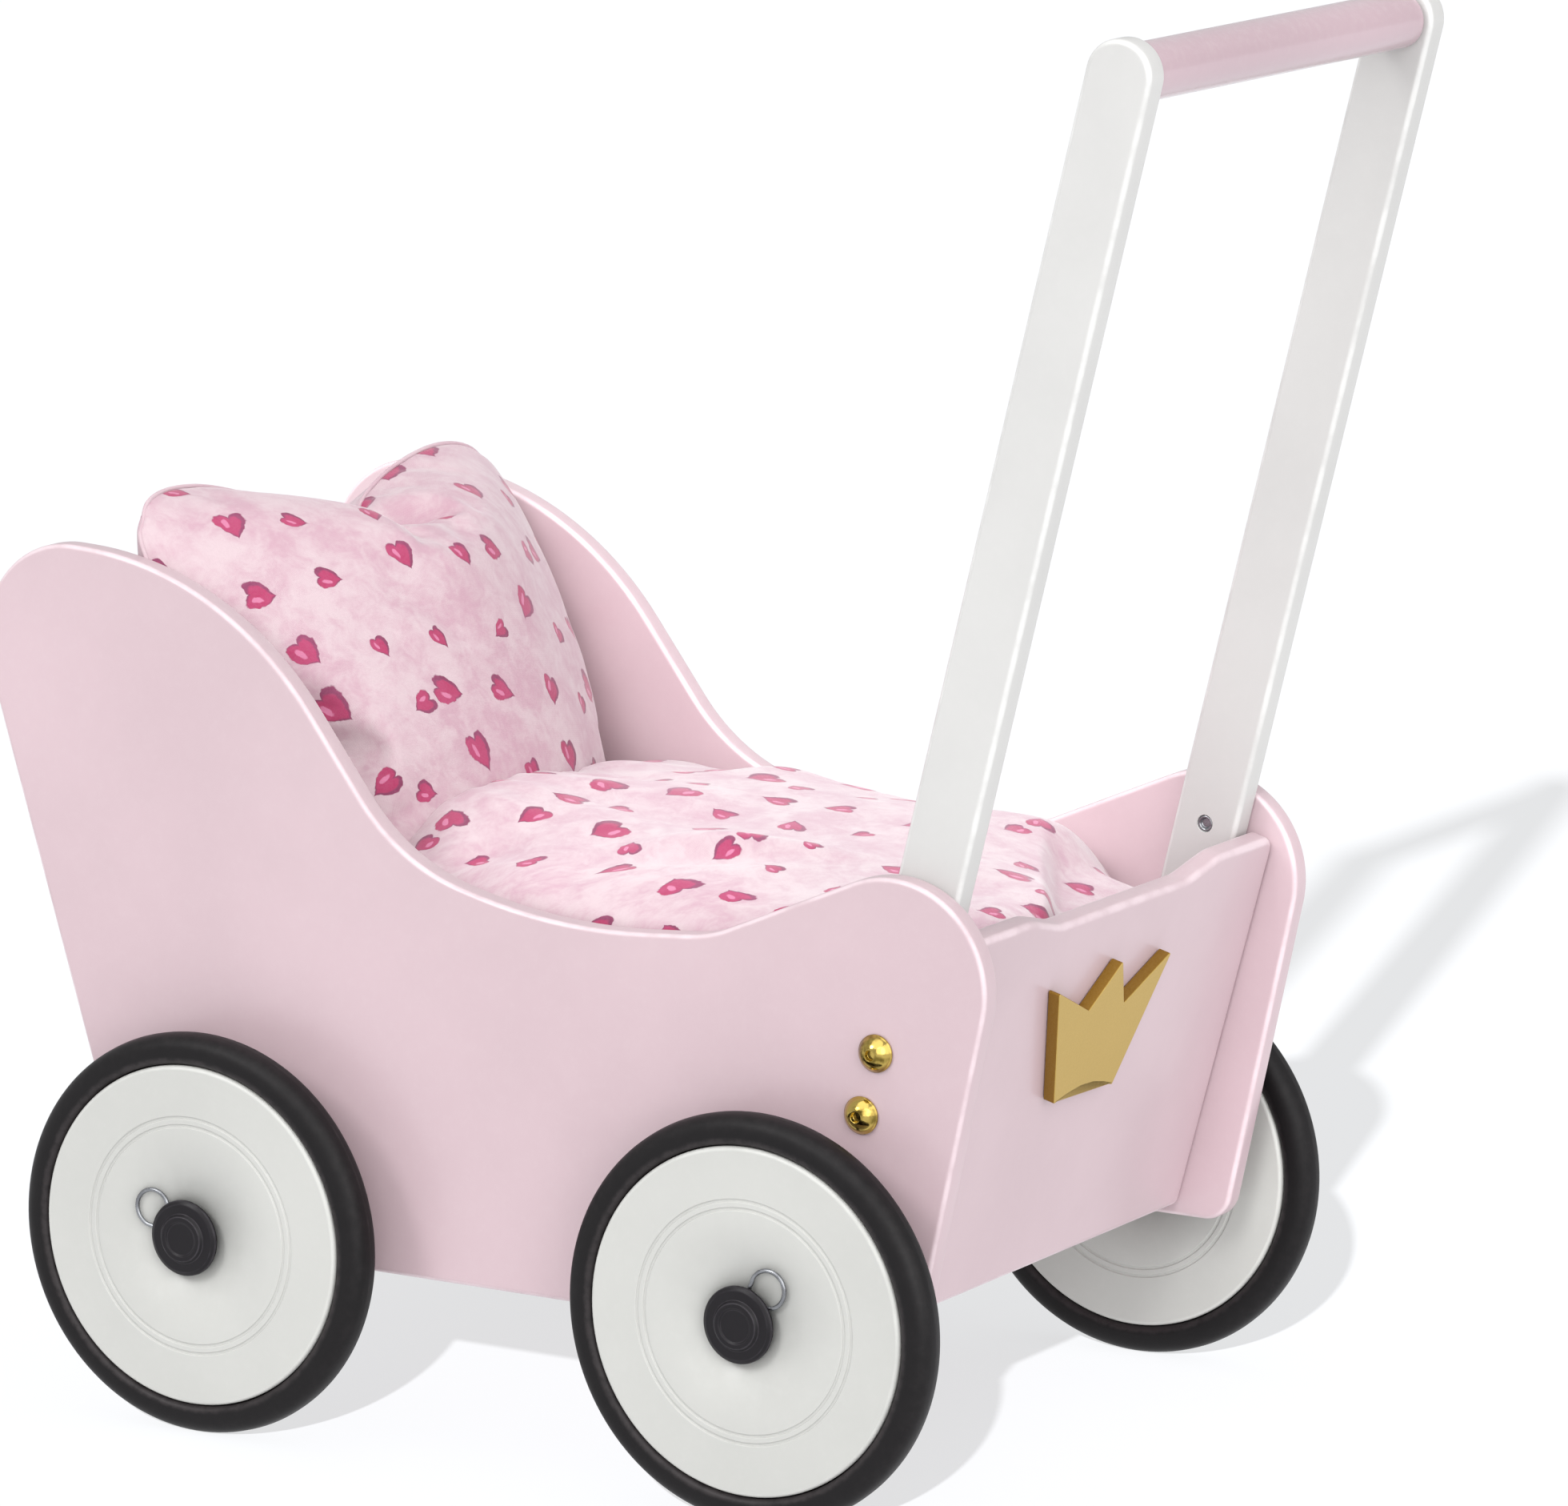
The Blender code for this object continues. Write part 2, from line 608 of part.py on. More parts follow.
def make_mattress():
    """A foam mattress on the floor panel."""
    size = (MATTRESS_X[1] - MATTRESS_X[0], 2 * MATTRESS_HALF_WIDTH, MATTRESS_THICKNESS)
    middle = Vector((sum(MATTRESS_X) / 2, 0, BED_TOP_Z - MATTRESS_THICKNESS / 2))
    padded_box("mattress", size, Matrix.Translation(middle), 9 * MM, 2)


def make_pillow():
    """A thick pillow that leans back over the head panel."""
    matrix = Matrix.Translation(PILLOW_CENTRE) @ Matrix.Rotation(PILLOW_LEAN, 4, "Y")
    padded_box("pillow", PILLOW_SIZE, matrix, PILLOW_ROUNDING, 3)


def padded_box(name, size, matrix, rounding, segments):
    """A box with well rounded edges."""
    bpy.ops.mesh.primitive_cube_add(size=1)
    made = bpy.context.object
    made.name = made.data.name = name
    made.scale = size
    bpy.ops.object.transform_apply(location=False, rotation=False, scale=True)
    made.matrix_world = matrix
    move_to_pram(made, FABRIC)
    bevel = made.modifiers.new("rounding", "BEVEL")
    bevel.width = rounding
    bevel.segments = segments


def duvet_section(y, foot_x, top):
    """One section of the duvet across Y, seen from the side; both ends follow the panels' slopes."""
    rise = top - DUVET_BOTTOM_Z
    foot_top_x = foot_x - rise * math.tan(END_LEAN)
    head_top_x = DUVET_HEAD_BOTTOM_X + rise * math.tan(PILLOW_LEAN)
    return [
        (foot_x, y, DUVET_BOTTOM_Z),
        (foot_top_x, y, top - DUVET_SHOULDER),
        (foot_top_x + 1.5 * DUVET_SHOULDER, y, top),
        (head_top_x - 2.5 * DUVET_SHOULDER, y, top),
        (head_top_x - 0.5 * DUVET_SHOULDER, y, top - DUVET_SHOULDER),
        (DUVET_HEAD_BOTTOM_X, y, DUVET_BOTTOM_Z),
    ]


def make_duvet():
    """A puffed duvet that fills the tub from the pillow to the foot panel."""
    halves = [duvet_section(y, foot_x, top) for y, foot_x, top in DUVET_SECTIONS]
    others = [duvet_section(-y, foot_x, top) for y, foot_x, top in DUVET_SECTIONS[-2::-1]]
    cage = bmesh.new()
    rings = [[cage.verts.new(point) for point in section] for section in halves + others]
    for ring, following in zip(rings, rings[1:]):
        for i in range(len(ring)):
            cage.faces.new((ring[i - 1], ring[i], following[i], following[i - 1]))
    cage.faces.new(rings[0])
    cage.faces.new(reversed(rings[-1]))
    bmesh.ops.recalc_face_normals(cage, faces=cage.faces)
    mesh = bpy.data.meshes.new("duvet")
    cage.to_mesh(mesh)
    cage.free()
    duvet = add_object("duvet", mesh, FABRIC)
    soften = duvet.modifiers.new("soften", "SUBSURF")
    soften.levels = soften.render_levels = 1


def shade():
    """Shade the round pieces smooth and keep their edges sharp."""
    for made in PRAM.objects:
        if made.type == "MESH" and len(made.data.polygons):
            made.data.shade_smooth()
            made.data.set_sharp_from_angle(angle=math.radians(35))


clear_scene()
PRAM = make_collection("doll_pram")
CUTTERS = make_collection("cutters")
PINK = make_material("pink_lacquer", (0.78, 0.63, 0.66), 0.35)
GRIP_PINK = make_material("grip_lacquer", (0.71, 0.51, 0.58), 0.25)
WHITE = make_material("white_lacquer", (0.83, 0.83, 0.82), 0.4)
RUBBER = make_material("black_rubber", (0.022, 0.019, 0.021), 0.55)
BLACK = make_material("black_plastic", (0.026, 0.021, 0.028), 0.4)
GOLD = make_material("gold_paint", (0.56, 0.41, 0.13), 0.45, 0.3)
BRASS = make_material("brass", (0.55, 0.42, 0.12), 0.25, 1.0)
STEEL = make_material("zinc_steel", (0.55, 0.55, 0.56), 0.35, 1.0)
BEECH = make_material("beech", (0.62, 0.42, 0.24), 0.6)
FABRIC = make_material("printed_cotton", (0.87, 0.62, 0.68), 0.85)

for HAND, SIDE in SIDES:
    make_side_panel(HAND, SIDE)
    make_arm(HAND, SIDE)
    make_handle_fixings(HAND, SIDE)
make_end_panel("foot", FOOT_BASE_X, -END_LEAN, FOOT_HEIGHT)
make_end_panel("head", HEAD_BASE_X, END_LEAN, HEAD_HEIGHT)
make_floor()
make_crown()
make_dowels()
make_grip()
for END in AXLE_X:
    make_axle(END)
    for HAND, SIDE in SIDES:
        make_wheel(END, HAND, SIDE)
make_mattress()
make_pillow()
make_duvet()
shade()
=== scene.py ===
"""Looks of the doll's pram: lacquered boards, rubber-tyred wheels, a push handle and printed bedding.

Frame: metres, +X to the head end, +Y to the pram's left, +Z up, origin on the ground under the middle
of the overall box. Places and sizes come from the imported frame's boxes, or are fields in millimetres
of the class that uses them.
"""

import logging
import math
from dataclasses import dataclass, field
from enum import Enum
from typing import Callable, Sequence

import bpy
import numpy as np
from mathutils import Matrix, Vector


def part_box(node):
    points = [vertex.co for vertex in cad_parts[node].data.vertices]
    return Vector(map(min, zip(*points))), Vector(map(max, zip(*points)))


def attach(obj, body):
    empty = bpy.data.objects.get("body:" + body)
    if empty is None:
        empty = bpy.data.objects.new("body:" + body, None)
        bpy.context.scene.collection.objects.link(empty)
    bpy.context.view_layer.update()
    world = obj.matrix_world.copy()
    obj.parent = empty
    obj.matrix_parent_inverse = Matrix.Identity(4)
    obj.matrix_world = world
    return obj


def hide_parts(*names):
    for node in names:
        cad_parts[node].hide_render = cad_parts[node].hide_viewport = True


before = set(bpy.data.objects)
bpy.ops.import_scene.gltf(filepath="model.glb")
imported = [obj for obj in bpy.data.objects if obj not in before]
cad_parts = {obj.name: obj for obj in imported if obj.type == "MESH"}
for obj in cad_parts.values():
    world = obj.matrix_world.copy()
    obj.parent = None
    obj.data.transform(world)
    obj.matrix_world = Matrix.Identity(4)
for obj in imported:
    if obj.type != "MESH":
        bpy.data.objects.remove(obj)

LOG = logging.getLogger("doll_pram")
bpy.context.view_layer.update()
MM = 0.001
SIDES = {"left": 1, "right": -1}
ENDS = ("front", "rear")
BOLT_LEVELS = ("lower", "upper")
INSERT_LEVELS = ("lower", "upper", "lower_spare", "upper_spare")
SQUARE = ((-1, -1), (1, -1), (1, 1), (-1, 1))
SUPPORT = 0.35 * MM  # distance of a holding line from the start of a rounding

Array = np.ndarray
Colour = tuple[float, float, float]


# ---------------------------------------------------------------- shapes


def grid_faces(rows: int, columns: int, wrap_rows: bool = False, wrap_columns: bool = False) -> Array:
    """Quads over a grid of points numbered row by row.

    Args:
        rows: how many rows of points.
        columns: how many points in a row.
        wrap_rows: whether the last row joins the first.
        wrap_columns: whether each row's end joins its start.

    Returns:
        One row of four point numbers per quad; rows run down and columns run along.
    """
    index = np.arange(rows * columns).reshape(rows, columns)
    if wrap_rows:
        index = np.vstack([index, index[:1]])
    if wrap_columns:
        index = np.hstack([index, index[:, :1]])
    quads = (index[:-1, :-1], index[1:, :-1], index[1:, 1:], index[:-1, 1:])
    return np.stack(quads, axis=-1).reshape(-1, 4)


def moved(points: Array, matrix: Matrix) -> Array:
    """Points carried by a 4x4 matrix: rotation times the point, plus the shift."""
    carry = np.array(matrix, float)
    return points @ carry[:3, :3].T + carry[:3, 3]


def smooth_step(value: Array | float) -> Array:
    """Three v squared less two v cubed, with v held between 0 and 1."""
    held = np.clip(value, 0, 1)
    return held * held * (3 - 2 * held)


def frame_of(right: Sequence[float], up: Sequence[float], centre: Sequence[float]) -> Matrix:
    """The matrix whose X and Y axes are `right` and `up` and whose origin is `centre`."""
    x_axis, y_axis = Vector(right).normalized(), Vector(up).normalized()
    turned_by = Matrix((x_axis, y_axis, x_axis.cross(y_axis))).transposed()
    return Matrix.Translation(centre) @ turned_by.to_4x4()


def outward(side: int, spin: float = 0.0) -> Matrix:
    """The rotation that points local Z out of the pram's side and turns local X `spin` about Y."""
    return Matrix.Rotation(spin, 4, "Y") @ Matrix.Rotation(-side * math.pi / 2, 4, "X")


@dataclass
class Surface:
    """Points and faces of a piece, with what its material reads."""

    points: Array
    quads: Array
    caps: list[list[int]] = field(default_factory=list)
    values: dict[str, Array] = field(default_factory=dict)
    corner_uv: Array | None = None

    def mesh(self, name: str) -> bpy.types.Mesh:
        """Make the mesh: smooth quads and flat caps, its point values and its UV map."""
        faces = self.quads.tolist() + self.caps
        made = bpy.data.meshes.new(name)
        made.from_pydata(self.points.tolist(), [], faces)
        smooth = np.ones(len(faces), bool)
        smooth[len(self.quads):] = False
        made.polygons.foreach_set("use_smooth", smooth)
        for label, value in self.values.items():
            layer = made.attributes.new(label, "FLOAT", "POINT")
            layer.data.foreach_set("value", value.astype(np.float32))
        if self.corner_uv is not None:
            flat_uv = self.corner_uv.astype(np.float32).ravel()
            made.uv_layers.new(name="cloth").uv.foreach_set("vector", flat_uv)
        made.update()
        return made


@dataclass(frozen=True)
class Outline:
    """A closed outline run anticlockwise: its points and the unit normals that point out of it."""

    points: Array
    normals: Array

    def inset(self, distance: float) -> Array:
        """Each point moved inwards along its normal by `distance`."""
        return self.points - self.normals * distance


def corner_arc(
    before: Array, corner: Array, after: Array, radius: float, step: float
) -> tuple[Array, Array]:
    """Round one corner: the arc of `radius` that touches both its edges.

    Args:
        before: the point before the corner.
        corner: the corner itself.
        after: the point after it.
        radius: the arc's radius.
        step: longest turn from one point of the arc to the next, in radians.

    Returns:
        The arc's points and its unit normals. Each point is the centre plus the radius times
        (cosine, sine) of its angle; the normal is that direction, turned round where the outline bends in.
    """
    back = (before - corner) / np.linalg.norm(before - corner)
    ahead = (after - corner) / np.linalg.norm(after - corner)
    half = math.acos(np.clip(back @ ahead, -1, 1)) / 2
    middle = (back + ahead) / np.linalg.norm(back + ahead)
    centre = corner + middle * radius / math.sin(half)
    first = corner + back * radius / math.tan(half) - centre
    last = corner + ahead * radius / math.tan(half) - centre
    start = math.atan2(first[1], first[0])
    turn = (math.atan2(last[1], last[0]) - start + math.pi) % math.tau - math.pi
    angles = start + turn * np.linspace(0, 1, max(2, math.ceil(abs(turn) / step) + 1))
    spokes = np.stack([np.cos(angles), np.sin(angles)], axis=-1)
    return centre + radius * spokes, spokes * math.copysign(1, turn)


def rounded_outline(corners: Sequence[tuple[tuple[float, float], float]], step: float = 0.06) -> Outline:
    """A closed outline from ((x, y), radius) corners, each rounded to its radius."""
    places = np.array([place for place, _ in corners], float)
    arcs = [
        corner_arc(places[i - 1], places[i], places[(i + 1) % len(places)], radius, step)
        for i, (_, radius) in enumerate(corners)
    ]
    return Outline(np.vstack([points for points, _ in arcs]), np.vstack([normals for _, normals in arcs]))


def rounded_profile(corners: Sequence[tuple[float, float, float]], step: float = 0.35) -> Array:
    """An open profile from (radius, height, rounding) corners in millimetres, for a turned piece.

    A corner with no rounding stays sharp. Each rounding has a holding line on both its sides, so
    that a flat face next to it shades flat.
    """
    places = np.array([corner[:2] for corner in corners], float) * MM
    run = [places[:1]]
    for i in range(1, len(corners) - 1):
        rounding = corners[i][2] * MM
        if not rounding:
            run.append(places[i : i + 1])
            continue
        arc, _ = corner_arc(places[i - 1], places[i], places[i + 1], rounding, step)
        back = (places[i - 1] - places[i]) / np.linalg.norm(places[i - 1] - places[i])
        ahead = (places[i + 1] - places[i]) / np.linalg.norm(places[i + 1] - places[i])
        hold = min(SUPPORT, 0.4 * rounding)
        run.append(np.vstack([arc[:1] + back * hold, arc, arc[-1:] + ahead * hold]))
    run.append(places[-1:])
    return np.vstack(run)


def slab(outline: Outline, thickness: float, rounding: float, matrix: Matrix, steps: int = 5) -> Surface:
    """A board cut to an outline, with its edges rounded on both faces.

    The edge profile is carried round the outline. For an angle a from 0 to a quarter turn, the inset
    is the rounding times (1 - sin a) and the height is half the thickness less the rounding times
    (1 - cos a); the lower half mirrors it.

    Args:
        outline: the board's outline in its own plane.
        thickness: its full thickness.
        rounding: radius of its rounded edges.
        matrix: places that plane's X and Y axes and origin.
        steps: points in each rounding.

    Returns:
        The surface, with `edge` 1 on the crest of a rounding and `rim` 1 on the edge's flat wall.
    """
    angles = np.linspace(0, math.pi / 2, steps + 1)
    inset = np.concatenate([[rounding + SUPPORT], rounding * (1 - np.sin(angles))])
    height = np.concatenate([[0.0], rounding * (1 - np.cos(angles))])
    crest = np.concatenate([[0.0], np.sin(2 * angles)])
    wall = np.concatenate([[0.0], smooth_step(angles / (math.pi / 2))])
    inset = np.concatenate([inset, inset[::-1]])
    height = np.concatenate([thickness / 2 - height, height[::-1] - thickness / 2])
    flat = outline.points[None] - outline.normals[None] * inset[:, None, None]
    rings, around = flat.shape[:2]
    level = np.broadcast_to(height[:, None, None], (rings, around, 1))
    points = moved(np.concatenate([flat, level], axis=-1).reshape(-1, 3), matrix)
    caps = [list(range(around)), list(range(rings * around - 1, (rings - 1) * around - 1, -1))]
    values = {
        "edge": np.repeat(np.concatenate([crest, crest[::-1]]), around),
        "rim": np.repeat(np.concatenate([wall, wall[::-1]]), around),
    }
    return Surface(points, grid_faces(rings, around, wrap_columns=True), caps, values)


def turned(profile: Array, matrix: Matrix, around: int = 96, ring: bool = False) -> Surface:
    """A piece turned about its local Z axis.

    A point is (r cos t, r sin t, h), for the profile's radius r and height h and the angle t around
    the axis. A profile that starts or ends on the axis closes there with a fan.

    Args:
        profile: (radius, height) rows running down the outer side.
        matrix: places the local axes.
        around: points round the axis.
        ring: whether the profile closes on itself.

    Returns:
        The surface, with `edge` 1 where the profile bends most.
    """
    tight = 0.02 * MM
    on_axis = profile[:, 0] < tight
    body = profile[~on_axis]
    angles = np.linspace(0, math.tau, around, endpoint=False)
    circle = np.stack([np.cos(angles), np.sin(angles)], axis=-1)
    flat = body[:, None, :1] * circle[None]
    level = np.broadcast_to(body[:, None, 1:], (len(body), around, 1))
    points = np.concatenate([flat, level], axis=-1).reshape(-1, 3)
    quads = grid_faces(len(body), around, wrap_rows=ring, wrap_columns=True)
    fans = []
    turn = np.arange(around)
    following = (turn + 1) % around
    last = (len(body) - 1) * around
    if on_axis[0]:
        points = np.vstack([points, [[0, 0, profile[0, 1]]]])
        pole = np.full(around, len(points) - 1)
        fans += np.stack([turn, following, pole], axis=-1).tolist()
    if on_axis[-1]:
        points = np.vstack([points, [[0, 0, profile[-1, 1]]]])
        pole = np.full(around, len(points) - 1)
        fans += np.stack([last + following, last + turn, pole], axis=-1).tolist()
    edge = np.zeros(len(points))
    edge[: len(body) * around] = np.repeat(profile_bend(body, ring), around)
    return Surface(moved(points, matrix), quads, fans, {"edge": edge})


def profile_bend(profile: Array, closed: bool) -> Array:
    """How sharply a profile turns at each point: the turn's angle over 20 degrees, held at 1."""
    before = profile - np.roll(profile, 1, axis=0)
    after = np.roll(profile, -1, axis=0) - profile
    cross = before[:, 0] * after[:, 1] - before[:, 1] * after[:, 0]
    turn = np.abs(np.arctan2(cross, (before * after).sum(axis=1)))
    if not closed:
        turn[[0, -1]] = 0
    return np.clip(turn / math.radians(20), 0, 1)


def tube(path: Array, radius: float, away: Array, sides: int = 10, closed: bool = False) -> Surface:
    """A round wire or cord along a path.

    The tangent is the path's central difference. Two axes square to it, one of them square to the
    `away` direction as well, carry the circle: centre + r (cos t times the first + sin t times the second).

    Args:
        path: the points along its middle.
        radius: the wire's radius.
        away: one direction for each path point, never along the path.
        sides: points round the wire.
        closed: whether the path's end joins its start.

    Returns:
        The surface, with a flat cap on each end of an open path.
    """
    if closed:
        along = np.roll(path, -1, axis=0) - np.roll(path, 1, axis=0)
    else:
        along = np.gradient(path, axis=0)
    along /= np.linalg.norm(along, axis=1, keepdims=True)
    first = np.cross(along, np.broadcast_to(away, path.shape))
    first /= np.linalg.norm(first, axis=1, keepdims=True)
    second = np.cross(along, first)
    angles = np.linspace(0, math.tau, sides, endpoint=False)
    circle = np.cos(angles)[None, :, None] * first[:, None] + np.sin(angles)[None, :, None] * second[:, None]
    points = (path[:, None] + radius * circle).reshape(-1, 3)
    quads = grid_faces(len(path), sides, wrap_rows=closed, wrap_columns=True)[:, ::-1]
    start = list(range(sides))
    end = list(range((len(path) - 1) * sides, len(path) * sides))
    return Surface(points, quads, [] if closed else [start[::-1], end])


def cord_around(path: Array, radius: float) -> Surface:
    """A closed cord round a piece, with a UV map made of its points' first and third parts."""
    cord = tube(path, radius, path - path.mean(axis=0), 8, closed=True)
    cord.corner_uv = cord.points[cord.quads.ravel()][:, [0, 2]]
    return cord


def eased_path(points: Array, per_span: int = 6) -> Array:
    """A smooth path through points: each span is the cubic whose end slopes are half its neighbours' gap."""
    whole = np.vstack([2 * points[0] - points[1], points, 2 * points[-1] - points[-2]])
    p0, p1, p2, p3 = (whole[i : len(whole) - 3 + i, None] for i in range(4))
    t = np.linspace(0, 1, per_span, endpoint=False)[None, :, None]
    curve = 2 * p1 + (p2 - p0) * t + (2 * p0 - 5 * p1 + 4 * p2 - p3) * t**2
    curve = (curve + (3 * p1 - p0 - 3 * p2 + p3) * t**3) / 2
    return np.vstack([curve.reshape(-1, points.shape[1]), points[-1:]])


# ---------------------------------------------------------------- shader nodes

Socket = bpy.types.NodeSocket
Tree = bpy.types.NodeTree


def display(red: int, green: int, blue: int) -> Colour:
    """A screen colour of 0 to 255 a channel as the linear colour a shader takes."""
    shares = np.array([red, green, blue]) / 255
    linear = np.where(shares <= 0.04045, shares / 12.92, ((shares + 0.055) / 1.055) ** 2.4)
    return tuple(float(x) for x in linear)


class Wiring:
    """Adds the nodes of one shader or group and joins their sockets."""

    def __init__(self, tree: Tree) -> None:
        """Work on `tree`."""
        self.tree = tree

    def add(self, kind: str, inputs: dict | None = None, **settings: object) -> bpy.types.Node:
        """Add a node.

        Args:
            kind: the node's type, without its ShaderNode prefix.
            inputs: input name or number to a socket to join or a value to set.
            settings: the node's own properties.

        Returns:
            The new node.
        """
        made = self.tree.nodes.new("ShaderNode" + kind)
        for name, value in settings.items():
            setattr(made, name, value)
        for key, value in (inputs or {}).items():
            if isinstance(value, Socket):
                self.tree.links.new(value, made.inputs[key])
            else:
                made.inputs[key].default_value = value
        return made

    def math(self, operation: str, *terms: Socket | float) -> Socket:
        """A sum, product or other operation on numbers."""
        return self.add("Math", dict(enumerate(terms)), operation=operation).outputs[0]

    def vector(self, operation: str, *terms: object) -> Socket:
        """An operation on vectors that gives a vector."""
        return self.add("VectorMath", dict(enumerate(terms)), operation=operation).outputs[0]

    def scaled(self, vector: Socket, share: Socket | float) -> Socket:
        """A vector times a number."""
        return self.add("VectorMath", {0: vector, "Scale": share}, operation="SCALE").outputs[0]

    def squares(self, first: Socket, second: Socket) -> Socket:
        """The sum of two values' squares."""
        return self.math("ADD", self.math("MULTIPLY", first, first), self.math("MULTIPLY", second, second))

    def between(
        self, value: Socket, low: float, high: float, first: float = 0.0, last: float = 1.0
    ) -> Socket:
        """A value from `low` to `high` eased onto `first` to `last`."""
        limits = {"Value": value, "From Min": low, "From Max": high, "To Min": first, "To Max": last}
        return self.add("MapRange", limits, interpolation_type="SMOOTHSTEP").outputs[0]

    def mix(self, share: Socket | float, first: object, second: object) -> Socket:
        """Two colours mixed: the second one's share is `share`."""
        inputs = {0: share, 6: opaque(first), 7: opaque(second)}
        return self.add("Mix", inputs, data_type="RGBA").outputs[2]

    def noise(self, vector: Socket, scale: Socket | float, detail: float = 3.0, rough: float = 0.5) -> Socket:
        """Smooth random values around a half, `scale` features to the metre."""
        inputs = {"Vector": vector, "Scale": scale, "Detail": detail, "Roughness": rough}
        return self.add("TexNoise", inputs).outputs["Fac"]

    def split(self, vector: Socket) -> tuple[Socket, Socket, Socket]:
        """A vector's three parts."""
        parts = self.add("SeparateXYZ", {0: vector}).outputs
        return parts[0], parts[1], parts[2]

    def group(self, tree: Tree, inputs: dict) -> bpy.types.NodeOutputs:
        """Place a node group with its own values and give its outputs."""
        made = self.tree.nodes.new("ShaderNodeGroup")
        made.node_tree = tree
        for key, value in inputs.items():
            if isinstance(value, Socket):
                self.tree.links.new(value, made.inputs[key])
            else:
                made.inputs[key].default_value = value
        return made.outputs


def opaque(colour: object) -> object:
    """A three-part colour with its fourth part added; a socket as it is."""
    return (*colour, 1.0) if isinstance(colour, tuple) else colour


def start_group(name: str, inputs: dict[str, str], outputs: dict[str, str]) -> tuple[Wiring, object, object]:
    """Begin a shader node group.

    Args:
        name: the group's name.
        inputs: input name to its kind, Float, Vector or Color.
        outputs: output name to its kind.

    Returns:
        The group's wiring, its input node's outputs and its output node's inputs.
    """
    tree = bpy.data.node_groups.new(name, "ShaderNodeTree")
    for label, kind in inputs.items():
        tree.interface.new_socket(name=label, in_out="INPUT", socket_type="NodeSocket" + kind)
    for label, kind in outputs.items():
        tree.interface.new_socket(name=label, in_out="OUTPUT", socket_type="NodeSocket" + kind)
    source = tree.nodes.new("NodeGroupInput").outputs
    target = tree.nodes.new("NodeGroupOutput").inputs
    return Wiring(tree), source, target


def paint_skin_group() -> Tree:
    """Sprayed paint: a fine orange-peel height and slow clouds of tone."""
    wiring, source, target = start_group(
        "paint_skin", {"Vector": "Vector", "Peel": "Float"}, {"Height": "Float", "Tone": "Float"}
    )
    peel = wiring.noise(source["Vector"], source["Peel"], 2.0, 0.45)
    fine = wiring.noise(source["Vector"], wiring.math("MULTIPLY", source["Peel"], 4.3), 1.0)
    height = wiring.math("MULTIPLY_ADD", fine, 0.2, peel)
    clouds = wiring.noise(source["Vector"], 9.0, 4.0, 0.55)
    wiring.tree.links.new(height, target["Height"])
    wiring.tree.links.new(wiring.between(clouds, 0.3, 0.7), target["Tone"])
    return wiring.tree


def edge_wear_and_highlight_group() -> Tree:
    """Rubbed paint and a painted highlight on a rounded edge: the edge value broken up by noise."""
    wiring, source, target = start_group(
        "edge_wear", {"Vector": "Vector", "Edge": "Float", "Breakup": "Float"}, {"Mask": "Float"}
    )
    patches = wiring.noise(source["Vector"], source["Breakup"], 4.0, 0.6)
    wear_and_highlight = wiring.math("MULTIPLY", source["Edge"], wiring.between(patches, 0.25, 0.75, 0.45, 1.0))
    wiring.tree.links.new(wiring.between(wear_and_highlight, 0.15, 0.9), target["Mask"])
    return wiring.tree


def dust_group() -> Tree:
    """Fine dust: more on faces that look up, broken up by noise."""
    wiring, source, target = start_group(
        "fine_dust", {"Vector": "Vector", "Amount": "Float"}, {"Mask": "Float"}
    )
    upwards = wiring.split(wiring.add("NewGeometry").outputs["Normal"])[2]
    specks = wiring.noise(source["Vector"], 260.0, 6.0, 0.7)
    facing = wiring.between(upwards, -0.3, 1.0, 0.25, 1.0)
    settled = wiring.math("MULTIPLY", facing, wiring.between(specks, 0.4, 0.8))
    wiring.tree.links.new(wiring.math("MULTIPLY", settled, source["Amount"]), target["Mask"])
    return wiring.tree


def brushed_group() -> Tree:
    """Drawn or plated metal: fine streaks along one axis and slow clouds."""
    wiring, source, target = start_group(
        "brushed_metal", {"Vector": "Vector", "Stretch": "Vector"}, {"Streak": "Float", "Cloud": "Float"}
    )
    stretched = wiring.vector("MULTIPLY", source["Vector"], source["Stretch"])
    wiring.tree.links.new(wiring.noise(stretched, 1.0, 3.0, 0.6), target["Streak"])
    wiring.tree.links.new(wiring.noise(source["Vector"], 140.0, 3.0, 0.6), target["Cloud"])
    return wiring.tree


def weave_group() -> Tree:
    """Plain weave: warp and weft as crossed sine ridges, over and under by turns."""
    wiring, source, target = start_group(
        "plain_weave", {"Vector": "Vector", "Pitch": "Float"}, {"Height": "Float", "Thread": "Float"}
    )
    turns = wiring.math("DIVIDE", math.pi, source["Pitch"])
    across, along, _ = wiring.split(wiring.scaled(source["Vector"], turns))
    warp = wiring.math("ABSOLUTE", wiring.math("SINE", across))
    weft = wiring.math("ABSOLUTE", wiring.math("SINE", along))
    half_across = wiring.math("SINE", wiring.math("MULTIPLY", across, 0.5))
    half_along = wiring.math("SINE", wiring.math("MULTIPLY", along, 0.5))
    over = wiring.between(wiring.math("MULTIPLY", half_across, half_along), -0.4, 0.4)
    height = wiring.add("Mix", {0: over, 2: warp, 3: weft}, data_type="FLOAT").outputs[0]
    slub = wiring.noise(source["Vector"], 900.0, 2.0)
    wiring.tree.links.new(wiring.math("MULTIPLY_ADD", slub, 0.5, height), target["Height"])
    wiring.tree.links.new(slub, target["Thread"])
    return wiring.tree


